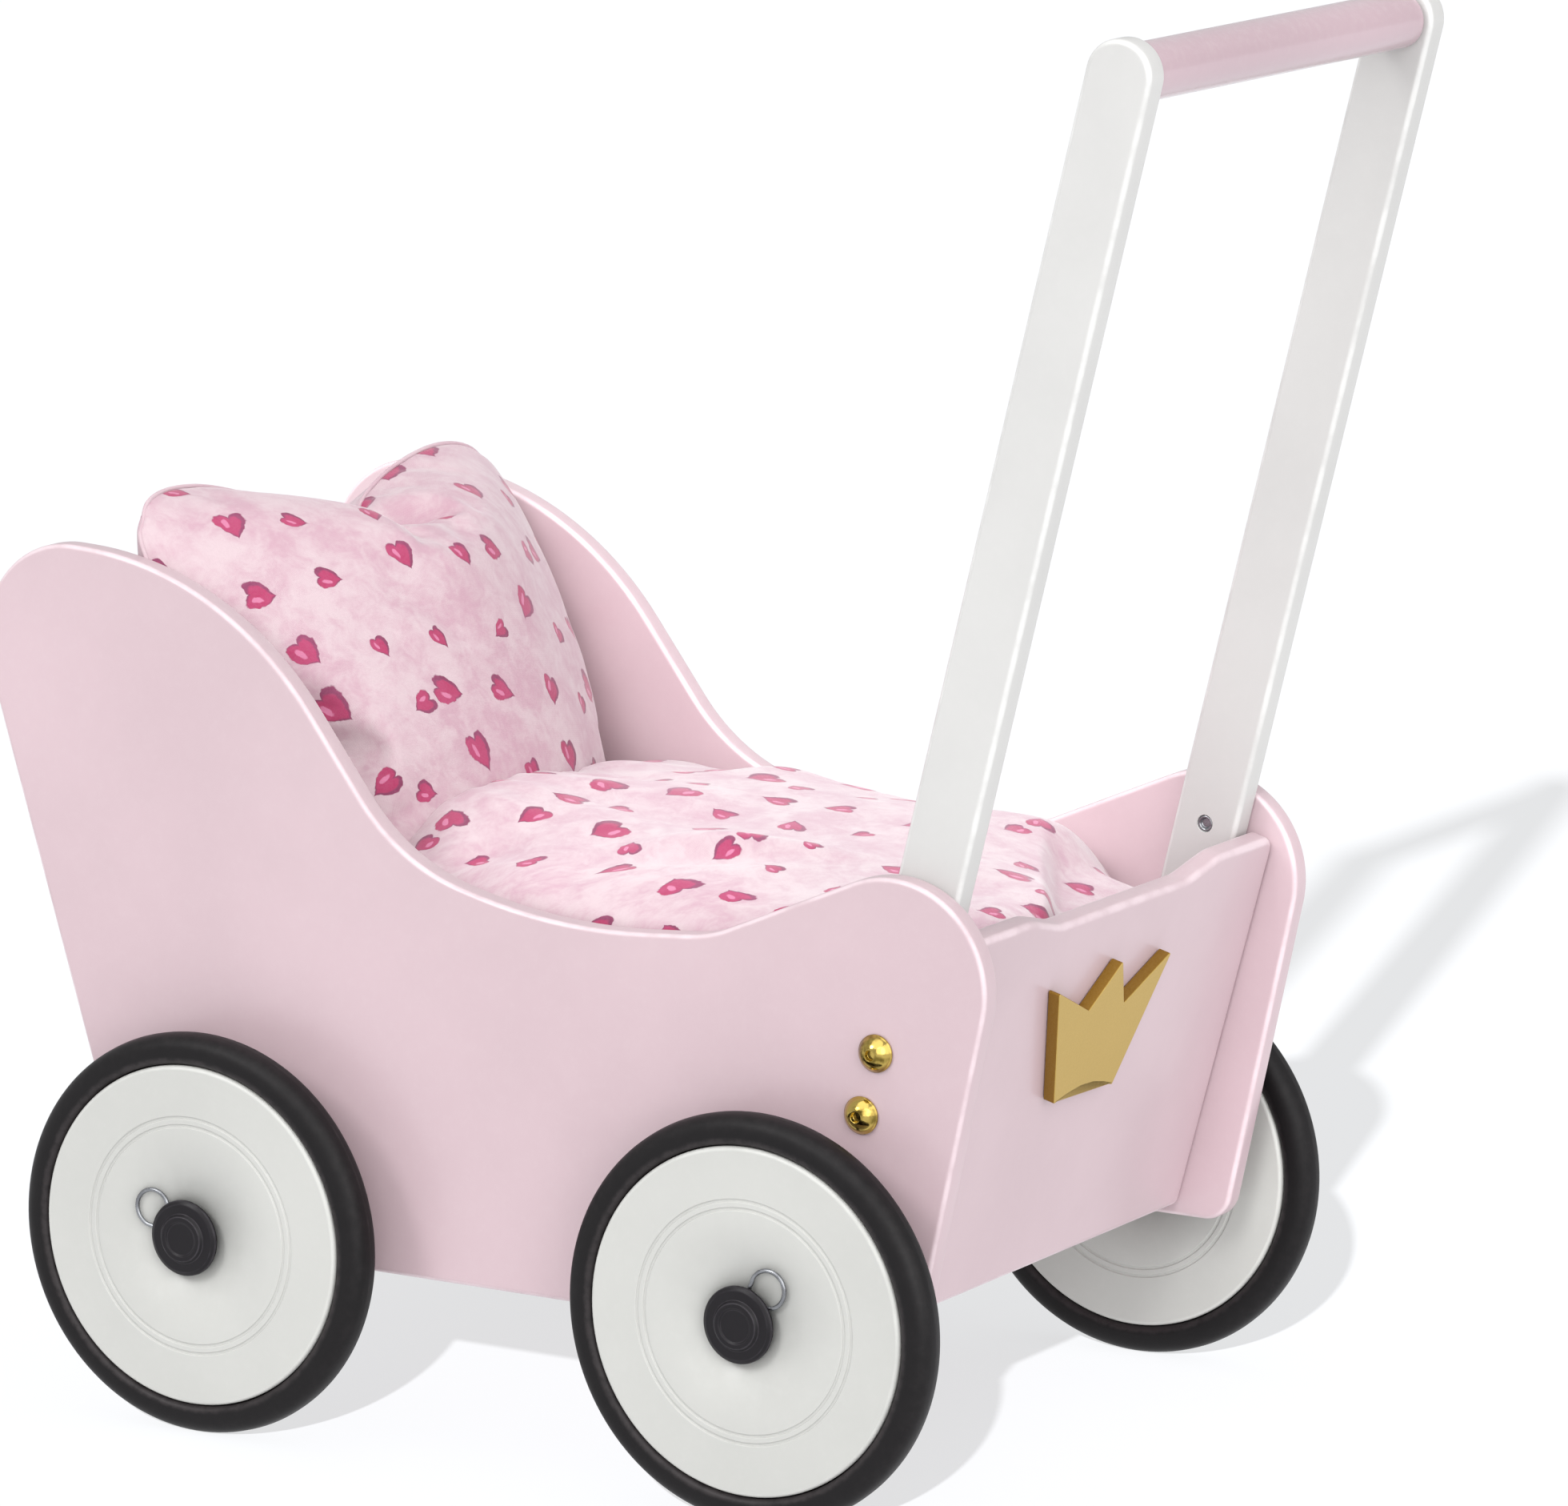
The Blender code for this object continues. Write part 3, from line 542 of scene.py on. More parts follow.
def watercolour_group() -> Tree:
    """Blotchy dye, as brushed on wet cloth: wide clouds over small ones, bent by a third noise."""
    wiring, source, target = start_group(
        "watercolour", {"Vector": "Vector", "Size": "Float"}, {"Share": "Float"}
    )
    scale = wiring.math("DIVIDE", 1.0, source["Size"])
    bend_inputs = {"Vector": source["Vector"], "Scale": scale, "Detail": 2.0}
    bend = wiring.add("TexNoise", bend_inputs).outputs["Color"]
    bend = wiring.scaled(bend, wiring.math("MULTIPLY", source["Size"], 0.9))
    bent = wiring.vector("ADD", source["Vector"], bend)
    wide = wiring.noise(bent, scale, 3.0, 0.5)
    small = wiring.noise(bent, wiring.math("MULTIPLY", scale, 3.4), 5.0, 0.65)
    blend = wiring.math("MULTIPLY_ADD", small, 0.75, wide)
    wiring.tree.links.new(wiring.between(blend, 0.62, 1.15), target["Share"])
    return wiring.tree


def heart_print_group() -> Tree:
    """Scattered hand-drawn hearts on flat cloth.

    Each point of a loose scatter carries one heart, turned and sized at random. Inside it, with
    (x, y) over the heart's radius, the shape value is the length of (x, 1.12 y - 0.72 sqrt|x|), which
    is under 1 inside the heart.
    """
    wiring, source, target = start_group(
        "heart_print",
        {"Vector": "Vector", "Spacing": "Float", "Radius": "Float"},
        {"Fill": "Float", "Line": "Float", "Shine": "Float", "Tone": "Float"},
    )
    wobble_inputs = {"Vector": source["Vector"], "Scale": 130.0, "Detail": 2.0}
    wobble = wiring.add("TexNoise", wobble_inputs).outputs["Color"]
    wobble = wiring.vector("SUBTRACT", wobble, (0.5, 0.5, 0.5))
    drawn = wiring.vector("ADD", source["Vector"], wiring.scaled(wobble, 2.6 * MM))
    place = wiring.scaled(source["Vector"], wiring.math("DIVIDE", 1.0, source["Spacing"]))
    scatter_inputs = {"Vector": place, "Scale": 1.0, "Randomness": 0.44}
    scatter = wiring.add("TexVoronoi", scatter_inputs, voronoi_dimensions="2D", feature="F1").outputs
    chance = wiring.add("SeparateColor", {0: scatter["Color"]}).outputs
    centre = wiring.scaled(scatter["Position"], source["Spacing"])
    local = wiring.vector("SUBTRACT", drawn, centre)
    turn = wiring.between(chance[0], 0.0, 1.0, -1.25, 1.25)
    turned_by = {"Vector": local, "Angle": turn}
    local = wiring.add("VectorRotate", turned_by, rotation_type="Z_AXIS").outputs[0]
    size = wiring.math("MULTIPLY", source["Radius"], wiring.between(chance[1], 0.0, 1.0, 0.7, 1.16))
    local = wiring.scaled(local, wiring.math("DIVIDE", 1.0, size))
    x, y, _ = wiring.split(local)
    slim = wiring.math("MULTIPLY", x, wiring.between(chance[2], 0.0, 1.0, 0.96, 1.22))
    lobe = wiring.math("SQRT", wiring.math("ABSOLUTE", slim))
    rise = wiring.math("MULTIPLY_ADD", lobe, -0.72, wiring.math("MULTIPLY", y, 1.12))
    reach = wiring.math("SQRT", wiring.squares(slim, rise))
    grain = wiring.noise(source["Vector"], 420.0, 3.0)
    ragged = wiring.math("MULTIPLY_ADD", grain, 0.3, wiring.math("SUBTRACT", reach, 0.15))
    side = wiring.math("MULTIPLY_ADD", slim, 0.22, 0.74)
    shine_x = wiring.math("DIVIDE", wiring.math("SUBTRACT", slim, 0.36), 0.2)
    shine_y = wiring.math("DIVIDE", wiring.math("SUBTRACT", y, 0.42), 0.42)
    shine = wiring.math("SUBTRACT", wiring.squares(shine_x, shine_y), 0.8)
    shine = wiring.math("MULTIPLY_ADD", grain, 1.6, shine)
    line_inputs = {"Value": ragged, "From Min": side, "From Max": wiring.math("ADD", side, 0.16)}
    line = wiring.add("MapRange", line_inputs).outputs[0]
    wiring.tree.links.new(wiring.between(ragged, 1.06, 0.96), target["Fill"])
    wiring.tree.links.new(line, target["Line"])
    wiring.tree.links.new(wiring.between(shine, 1.1, 0.5), target["Shine"])
    wiring.tree.links.new(chance[2], target["Tone"])
    return wiring.tree


def wood_grain_group() -> Tree:
    """Straight-grained beech: stretched noise for the grain and short dark flecks."""
    wiring, source, target = start_group(
        "wood_grain", {"Vector": "Vector", "Along": "Vector"}, {"Grain": "Float", "Fleck": "Float"}
    )
    stretched = wiring.vector("MULTIPLY", source["Vector"], source["Along"])
    grain = wiring.noise(stretched, 1.0, 5.0, 0.6)
    fleck = wiring.noise(stretched, 3.7, 2.0, 0.4)
    wiring.tree.links.new(grain, target["Grain"])
    wiring.tree.links.new(wiring.between(fleck, 0.62, 0.74), target["Fleck"])
    return wiring.tree


class Effect(Enum):
    """The shared node groups."""

    PAINT_SKIN = "paint_skin"
    EDGE_WEAR = "edge_wear"
    DUST = "fine_dust"
    BRUSHED = "brushed_metal"
    WEAVE = "plain_weave"
    WATERCOLOUR = "watercolour"
    HEARTS = "heart_print"
    WOOD = "wood_grain"


EFFECT_MAKERS: dict[Effect, Callable[[], Tree]] = {
    Effect.PAINT_SKIN: paint_skin_group,
    Effect.EDGE_WEAR: edge_wear_and_highlight_group,
    Effect.DUST: dust_group,
    Effect.BRUSHED: brushed_group,
    Effect.WEAVE: weave_group,
    Effect.WATERCOLOUR: watercolour_group,
    Effect.HEARTS: heart_print_group,
    Effect.WOOD: wood_grain_group,
}


def effect(kind: Effect) -> Tree:
    """The node group of that effect, built when it is first asked for."""
    return bpy.data.node_groups.get(kind.value) or EFFECT_MAKERS[kind]()


# ---------------------------------------------------------------- finishes


def shaded(colour: Colour, times: float) -> Colour:
    """A colour made lighter or darker: each part times `times`, held at 1."""
    return tuple(min(1, part * times) for part in colour)


@dataclass(frozen=True)
class Finish:
    """What every finish has: its material's name and the record's slot it stands for."""

    name: str
    slot: str

    def material(self) -> bpy.types.Material:
        """The finish's material, built once."""
        name = self.name + "_finish"
        made = bpy.data.materials.get(name)
        if made is None:
            made = bpy.data.materials.new(name)
            made.use_nodes = True
            wiring = Wiring(made.node_tree)
            self.wire(wiring, made.node_tree.nodes["Principled BSDF"])
        return made

    def wire(self, wiring: Wiring, shader: bpy.types.Node) -> None:
        """Join the finish's nodes to its shader."""
        raise NotImplementedError

    @staticmethod
    def join(wiring: Wiring, shader: bpy.types.Node, links: dict[str, Socket]) -> None:
        """Join sockets to the shader's inputs by name."""
        for name, socket in links.items():
            wiring.tree.links.new(socket, shader.inputs[name])

    @staticmethod
    def bump(
        wiring: Wiring,
        height: Socket,
        distance: float,
        strength: float = 1.0,
        over: Socket | None = None,
    ) -> Socket:
        """A normal from a height of 0 to 1 that stands `distance` metres tall."""
        inputs = {"Height": height, "Distance": distance, "Strength": strength}
        if over is not None:
            inputs["Normal"] = over
        return wiring.add("Bump", inputs).outputs[0]


@dataclass(frozen=True)
class Lacquer(Finish):
    """Sprayed satin or gloss paint on board or wood."""

    colour: Colour
    # the paler colour of the edge crests: rubbed paint and a painted highlight
    edge_wear_and_highlight_colour: Colour
    roughness: float = 0.34
    coat: float = 0.25
    peel: float = 420.0
    depth: float = 0.012 * MM
    tone_shift: float = 0.035

    def wire(self, wiring: Wiring, shader: bpy.types.Node) -> None:
        """Clouds of tone, paler edges (rubbed paint and a painted highlight), a little dust and an
        orange-peel bump.
        """
        place = wiring.add("TexCoord").outputs["Object"]
        skin = wiring.group(effect(Effect.PAINT_SKIN), {"Vector": place, "Peel": self.peel})
        edge = wiring.add("Attribute", attribute_name="edge").outputs["Fac"]
        wear_and_highlight = wiring.group(effect(Effect.EDGE_WEAR), {"Vector": place, "Edge": edge, "Breakup": 60.0})
        dust = wiring.group(effect(Effect.DUST), {"Vector": place, "Amount": 0.10})
        deeper = shaded(self.colour, 1 - self.tone_shift * 2)
        colour = wiring.mix(skin["Tone"], deeper, self.colour)
        # painted highlight and rubbed paint: each edge's crest mixed towards the paler edge colour
        colour = wiring.mix(wiring.math("MULTIPLY", wear_and_highlight["Mask"], 0.55), colour, self.edge_wear_and_highlight_colour)
        colour = wiring.mix(dust["Mask"], colour, (0.80, 0.78, 0.76))
        rough = wiring.between(skin["Tone"], 0.0, 1.0, self.roughness * 1.12, self.roughness * 0.92)
        rough = wiring.math("MULTIPLY_ADD", dust["Mask"], 0.5, rough)
        shader.inputs["Coat Weight"].default_value = self.coat
        shader.inputs["Coat Roughness"].default_value = 0.18
        shader.inputs["IOR"].default_value = 1.48
        normal = self.bump(wiring, skin["Height"], self.depth)
        self.join(wiring, shader, {"Base Color": colour, "Roughness": rough, "Normal": normal})


@dataclass(frozen=True)
class GoldPaint(Finish):
    """Metallic gold paint on a cut plaque, with a darker cut edge."""

    face: Colour
    rim: Colour

    def wire(self, wiring: Wiring, shader: bpy.types.Node) -> None:
        """Fine flakes of pigment, slow clouds and the darker rim."""
        place = wiring.add("TexCoord").outputs["Object"]
        skin = wiring.group(effect(Effect.PAINT_SKIN), {"Vector": place, "Peel": 900.0})
        flake_inputs = {"Vector": place, "Scale": 2600.0}
        flakes = wiring.add("TexVoronoi", flake_inputs).outputs["Color"]
        flake = wiring.add("SeparateColor", {0: flakes}).outputs[0]
        rim = wiring.add("Attribute", attribute_name="rim").outputs["Fac"]
        edge = wiring.add("Attribute", attribute_name="edge").outputs["Fac"]
        wear_and_highlight = wiring.group(effect(Effect.EDGE_WEAR), {"Vector": place, "Edge": edge, "Breakup": 300.0})
        face = wiring.mix(wiring.math("MULTIPLY", flake, 0.35), self.face, shaded(self.face, 1.25))
        face = wiring.mix(wiring.math("MULTIPLY", skin["Tone"], 0.25), face, shaded(self.face, 0.86))
        colour = wiring.mix(wiring.between(rim, 0.35, 0.8), face, self.rim)
        # painted highlight and rubbed paint: each edge's crest mixed towards a paler gold
        colour = wiring.mix(wiring.math("MULTIPLY", wear_and_highlight["Mask"], 0.3), colour, shaded(self.face, 1.3))
        rough = wiring.between(flake, 0.0, 1.0, 0.5, 0.38)
        metal = wiring.between(flake, 0.0, 1.0, 0.25, 0.6)
        normal = self.bump(wiring, skin["Height"], 0.02 * MM)
        links = {"Base Color": colour, "Roughness": rough, "Metallic": metal, "Normal": normal}
        self.join(wiring, shader, links)


@dataclass(frozen=True)
class Metal(Finish):
    """Plated or drawn metal."""

    colour: Colour
    # the clouded darker colour: tarnish, and on the brass also a painted dark reflection
    tarnish_and_dark_reflection: Colour
    roughness: float
    stretch: tuple[float, float, float] = (900.0, 900.0, 900.0)
    tarnish_and_dark_reflection_share: float = 0.5

    def wire(self, wiring: Wiring, shader: bpy.types.Node) -> None:
        """Streaks in the roughness, and clouds of tarnish and painted dark reflection in the colour."""
        place = wiring.add("TexCoord").outputs["Object"]
        brushed = wiring.group(effect(Effect.BRUSHED), {"Vector": place, "Stretch": self.stretch})
        edge = wiring.add("Attribute", attribute_name="edge").outputs["Fac"]
        wear_and_highlight = wiring.group(effect(Effect.EDGE_WEAR), {"Vector": place, "Edge": edge, "Breakup": 500.0})
        # tarnish and painted dark reflection, clouded in by noise
        share = wiring.between(brushed["Cloud"], 0.42, 0.68, 0.0, self.tarnish_and_dark_reflection_share)
        colour = wiring.mix(share, self.colour, self.tarnish_and_dark_reflection)
        # painted highlight and rubbed plating: each edge's crest mixed towards a paler metal
        colour = wiring.mix(wiring.math("MULTIPLY", wear_and_highlight["Mask"], 0.3), colour, shaded(self.colour, 1.2))
        rough = wiring.between(brushed["Streak"], 0.3, 0.7, self.roughness * 0.7, self.roughness * 1.4)
        shader.inputs["Metallic"].default_value = 1.0
        normal = self.bump(wiring, brushed["Streak"], 0.01 * MM)
        self.join(wiring, shader, {"Base Color": colour, "Roughness": rough, "Normal": normal})


@dataclass(frozen=True)
class Moulded(Finish):
    """Moulded plastic or rubber: a fine matt skin, with bloom or dust on it."""

    colour: Colour
    bloom: Colour
    roughness: float
    bloom_share: float
    grain: float
    depth: float

    def wire(self, wiring: Wiring, shader: bpy.types.Node) -> None:
        """Clouds of bloom, pale dust and a fine pitted bump."""
        place = wiring.add("TexCoord").outputs["Object"]
        skin = wiring.group(effect(Effect.PAINT_SKIN), {"Vector": place, "Peel": self.grain})
        edge = wiring.add("Attribute", attribute_name="edge").outputs["Fac"]
        wear_and_highlight = wiring.group(effect(Effect.EDGE_WEAR), {"Vector": place, "Edge": edge, "Breakup": 220.0})
        dust = wiring.group(effect(Effect.DUST), {"Vector": place, "Amount": self.bloom_share})
        colour = wiring.mix(dust["Mask"], self.colour, self.bloom)
        # painted highlight and rubbed bloom: each edge's crest mixed towards the pale bloom colour
        colour = wiring.mix(wiring.math("MULTIPLY", wear_and_highlight["Mask"], 0.35), colour, self.bloom)
        rough = wiring.between(skin["Tone"], 0.0, 1.0, self.roughness * 0.9, self.roughness * 1.1)
        shader.inputs["Specular IOR Level"].default_value = 0.25
        normal = self.bump(wiring, skin["Height"], self.depth)
        self.join(wiring, shader, {"Base Color": colour, "Roughness": rough, "Normal": normal})


@dataclass(frozen=True)
class Cotton(Finish):
    """Woven cotton dyed in soft clouds; the bedding's is printed with hearts."""

    pale: Colour
    deep: Colour
    hearts: bool = False
    heart: Colour = display(162, 32, 84)
    heart_line: Colour = display(108, 34, 74)
    heart_shine: Colour = display(216, 140, 174)
    cloud: float = 17 * MM
    spacing: float = 30 * MM
    radius: float = 6.6 * MM

    def wire(self, wiring: Wiring, shader: bpy.types.Node) -> None:
        """Watercolour ground, hearts over it, thread tone and the weave's bump."""
        place = wiring.add("UVMap", uv_map="cloth").outputs["UV"]
        ground = wiring.group(effect(Effect.WATERCOLOUR), {"Vector": place, "Size": self.cloud})
        weave = wiring.group(effect(Effect.WEAVE), {"Vector": place, "Pitch": 0.55 * MM})
        colour = wiring.mix(ground["Share"], self.pale, self.deep)
        if self.hearts:
            print_inputs = {"Vector": place, "Spacing": self.spacing, "Radius": self.radius}
            hearts = wiring.group(effect(Effect.HEARTS), print_inputs)
            ink = wiring.mix(wiring.math("MULTIPLY", hearts["Line"], 0.85), self.heart, self.heart_line)
            ink = wiring.mix(wiring.math("MULTIPLY", hearts["Shine"], 0.6), ink, self.heart_shine)
            ink = wiring.mix(wiring.math("MULTIPLY", ground["Share"], 0.12), ink, self.heart_shine)
            colour = wiring.mix(wiring.math("MULTIPLY", hearts["Fill"], 0.94), colour, ink)
        thread = wiring.between(weave["Thread"], 0.3, 0.7, 0.0, 0.07)
        colour = wiring.mix(thread, colour, shaded(self.deep, 0.8))
        rough = wiring.between(weave["Thread"], 0.3, 0.7, 0.82, 0.95)
        shader.inputs["Sheen Weight"].default_value = 0.5
        shader.inputs["Sheen Roughness"].default_value = 0.35
        shader.inputs["Specular IOR Level"].default_value = 0.2
        crumple = wiring.noise(place, 90.0, 3.0, 0.55)
        normal = self.bump(wiring, crumple, 0.35 * MM)
        normal = self.bump(wiring, weave["Height"], 0.05 * MM, 0.8, over=normal)
        self.join(wiring, shader, {"Base Color": colour, "Roughness": rough, "Normal": normal})


@dataclass(frozen=True)
class Beech(Finish):
    """Bare beech, for the dowels."""

    def wire(self, wiring: Wiring, shader: bpy.types.Node) -> None:
        """Grain along Y, flecks and a fine fibre bump."""
        place = wiring.add("TexCoord").outputs["Object"]
        wood = wiring.group(effect(Effect.WOOD), {"Vector": place, "Along": (700.0, 40.0, 700.0)})
        colour = wiring.mix(wood["Grain"], display(222, 184, 140), display(196, 150, 104))
        colour = wiring.mix(wiring.math("MULTIPLY", wood["Fleck"], 0.5), colour, display(150, 104, 66))
        rough = wiring.between(wood["Grain"], 0.3, 0.7, 0.55, 0.7)
        normal = self.bump(wiring, wood["Grain"], 0.05 * MM)
        self.join(wiring, shader, {"Base Color": colour, "Roughness": rough, "Normal": normal})


PINK_BOARD = Lacquer("pink_lacquer", "pink_lacquer", display(195, 172, 178), display(232, 215, 220))
WHITE_ARM = Lacquer("white_lacquer", "white_lacquer", display(196, 195, 193), display(232, 232, 230))
WHITE_WHEEL = Lacquer(
    "wheel_lacquer",
    "wheel_lacquer",
    display(186, 186, 182),
    display(206, 206, 202),
    roughness=0.42,
    coat=0.1,
)
PINK_GRIP = Lacquer("grip_lacquer", "grip_lacquer", display(184, 158, 166), display(232, 210, 217), 0.2, 0.6)
GOLD = GoldPaint("gold_paint", "gold_paint", display(182, 153, 82), display(140, 104, 30))
# painted reflection: dark olive clouds over nine tenths of the brass stand for the dark surroundings a dome
# mirrors, along with tarnish
BRASS = Metal("brass_plate", "brass", display(196, 170, 92), display(92, 74, 24), 0.14, tarnish_and_dark_reflection_share=0.9)
ZINC = Metal("zinc_steel", "zinc_steel", display(150, 152, 156), display(104, 104, 108), 0.3)
BLACK_PLASTIC = Moulded(
    "black_plastic",
    "black_plastic",
    display(19, 16, 20),
    display(80, 76, 82),
    roughness=0.4,
    bloom_share=0.06,
    grain=1100.0,
    depth=0.02 * MM,
)
TYRE_RUBBER = Moulded(
    "tyre_rubber",
    "tyre_rubber",
    display(12, 9, 11),
    display(72, 66, 67),
    roughness=0.5,
    bloom_share=0.07,
    grain=700.0,
    depth=0.03 * MM,
)
HEART_COTTON = Cotton(
    "printed_cotton", "printed_cotton", display(200, 180, 185), display(188, 154, 166), hearts=True
)
SEAM_COTTON = Cotton("seam_cotton", "printed_cotton", display(200, 180, 185), display(190, 160, 170))
COVER_COTTON = Cotton("mattress_cover", "mattress_cover", display(244, 240, 238), display(232, 224, 224))
BARE_BEECH = Beech("bare_beech", "beech")


# ---------------------------------------------------------------- pieces


def add_piece(
    name: str, surface: Surface, finish: Finish, body: str, stands_for: Sequence[str]
) -> bpy.types.Object:
    """Put a surface into the scene as a piece of the pram.

    Args:
        name: the piece's name.
        surface: its points and faces, in the frame.
        finish: its finish.
        body: the CAD body it rides on.
        stands_for: the CAD nodes it replaces.

    Returns:
        The new object, at the origin.
    """
    made = bpy.data.objects.new(name, surface.mesh(name))
    bpy.context.scene.collection.objects.link(made)
    made.data.materials.append(finish.material())
    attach(made, body)
    if stands_for:
        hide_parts(*stands_for)
    LOG.info("%s: %d faces on %s", name, len(made.data.polygons), body)
    return made


@dataclass(frozen=True)
class Bore:
    """A round hole between two points."""

    start: tuple[float, float, float]
    end: tuple[float, float, float]
    radius: float


def bore_out(piece: bpy.types.Object, bores: Sequence[Bore], around: int = 28) -> None:
    """Cut round holes out of a piece with one Boolean, and apply it.

    Args:
        piece: the piece to cut.
        bores: its holes.
        around: points round each hole.
    """
    surfaces = []
    for bore in bores:
        start, end = Vector(bore.start), Vector(bore.end)
        axis = (end - start).normalized()
        matrix = Matrix.Translation(start) @ axis.to_track_quat("Z", "Y").to_matrix().to_4x4()
        length = (end - start).length
        profile = np.array([(0, length), (bore.radius, length), (bore.radius, 0), (0, 0)])
        surfaces.append(turned(profile, matrix, around))
    starts = np.cumsum([0] + [len(s.points) for s in surfaces])
    quads = np.vstack([s.quads + first for s, first in zip(surfaces, starts)])
    caps = [[i + int(first) for i in cap] for s, first in zip(surfaces, starts) for cap in s.caps]
    whole = Surface(np.vstack([s.points for s in surfaces]), quads, caps)
    cutter = bpy.data.objects.new(piece.name + "_bores", whole.mesh(piece.name + "_bores"))
    bpy.context.scene.collection.objects.link(cutter)
    cut = piece.modifiers.new("bores", "BOOLEAN")
    cut.object = cutter
    cut.operation = "DIFFERENCE"
    cut.solver = "EXACT"
    keep_modified(piece)
    bpy.data.objects.remove(cutter)


def keep_modified(piece: bpy.types.Object) -> None:
    """Apply every modifier of a piece, keeping its materials."""
    graph = bpy.context.evaluated_depsgraph_get()
    graph.update()
    made = bpy.data.meshes.new_from_object(
        piece.evaluated_get(graph), preserve_all_data_layers=True, depsgraph=graph
    )
    piece.modifiers.clear()
    old = piece.data
    piece.data = made
    bpy.data.meshes.remove(old)
    made.name = piece.name


def box_middle(node: str) -> Vector:
    """The middle of a CAD node's box."""
    low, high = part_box(node)
    return (low + high) / 2


@dataclass
class Handle:
    """Two white arms bolted inside the tub and the round grip between them."""

    half_width: float = 13.75 * MM
    rounding: float = 2.4 * MM
    grip_radius: float = 11 * MM
    tenon_radius: float = 5.9 * MM
    tenon_length: float = 7 * MM
    bolt_pitch: float = 25 * MM
    insert_bore: float = 3.5 * MM
    gap: float = 0.3 * MM

    def __post_init__(self) -> None:
        """Read the arms' line from the lowest bolt and the grip."""
        self.grip = box_middle("handle_grip")
        foot = box_middle("handle_bolt_lower_left")
        self.foot = Vector((foot.x, 0, foot.z))
        line = Vector((self.grip.x, 0, self.grip.z)) - self.foot
        self.length = line.length
        self.up = line.normalized()
        self.across = Vector((self.up.z, 0, -self.up.x))

    def at(self, up: float) -> Vector:
        """The point of the arms' middle line that is `up` above the lowest bolt, on the plane Y = 0."""
        return self.foot + self.up * up

    def make(self) -> None:
        """Build the arms, the grip, the bolts and the inserts."""
        for hand, side in SIDES.items():
            self.make_arm(hand, side)
            for i, level in enumerate(INSERT_LEVELS):
                self.make_insert(hand, side, level, i)
            for level in BOLT_LEVELS:
                self.make_bolt(hand, side, level)
        self.make_grip()

    def make_arm(self, hand: str, side: int) -> None:
        """A flat bar with round ends, its insert holes and the grip's socket."""
        low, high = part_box(f"handle_arm_{hand}")
        angles = np.linspace(-math.pi, 0, 33)
        lower = np.stack([np.cos(angles), np.sin(angles)], axis=-1)
        spokes = np.vstack([lower, -lower])
        shift = np.repeat([[0, 0], [0, self.length]], len(angles), axis=0)
        outline = Outline(spokes * self.half_width + shift, spokes)
        middle = (low.y + high.y) / 2
        matrix = frame_of(self.across, self.up, self.foot + Vector((0, middle, 0)))
        board = slab(outline, high.y - low.y, self.rounding, matrix, 7)
        arm = add_piece(f"push_arm_{hand}", board, WHITE_ARM, "frame", [f"handle_arm_{hand}"])
        inner = side * min(abs(low.y), abs(high.y))
        outer = side * max(abs(low.y), abs(high.y))
        beyond = side * 2 * MM
        bores = []
        for i in range(len(INSERT_LEVELS)):
            place = self.at(i * self.bolt_pitch)
            ends = [(place.x, y, place.z) for y in (inner - beyond, outer + beyond)]
            bores.append(Bore(*ends, self.insert_bore))
        ends = [(self.grip.x, y, self.grip.z) for y in (inner - beyond, inner + side * self.tenon_length)]
        bores.append(Bore(*ends, self.tenon_radius + self.gap))
        bore_out(arm, bores)

    def make_grip(self) -> None:
        """The turned bar: a tenon, a rounded shoulder and the long barrel, mirrored."""
        low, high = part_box("handle_grip")
        end = high.y / MM
        shoulder = end - self.tenon_length / MM
        tenon, barrel = self.tenon_radius / MM, self.grip_radius / MM
        half = [(0, end, 0), (tenon, end, 0.6), (tenon, shoulder, 0), (barrel, shoulder, 1.6)]
        corners = half + [(r, -h, e) for r, h, e in reversed(half)]
        matrix = Matrix.Translation((self.grip.x, 0, self.grip.z)) @ outward(1)
        grip = turned(rounded_profile(corners), matrix, 72)
        add_piece("push_grip", grip, PINK_GRIP, "frame", ["handle_grip"])

    def make_insert(self, hand: str, side: int, level: str, number: int) -> None:
        """A threaded steel sleeve: a ring with a chamfered mouth."""
        low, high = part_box(f"arm_insert_{level}_{hand}")
        length = (high.y - low.y) / MM
        rows = [(3.2, length - 0.4), (3.2, 0.4), (2.9, 0.0), (2.4, 0.0), (2.0, 0.6)]
        spare = "spare" in level
        if spare:
            rows = [(0, length), (2.9, length), *rows, (1.7, 1.4), (0, 1.4)]
        else:
            rows += [(2.0, length - 0.5), (2.3, length), (2.9, length)]
        place = self.at(number * self.bolt_pitch)
        inner = side * min(abs(low.y), abs(high.y))
        matrix = Matrix.Translation((place.x, inner, place.z)) @ outward(side)
        node = f"arm_insert_{level}_{hand}"
        ring = turned(np.array(rows) * MM, matrix, 28, ring=not spare)
        add_piece(f"threaded_{level}_{hand}", ring, ZINC, "frame", [node])

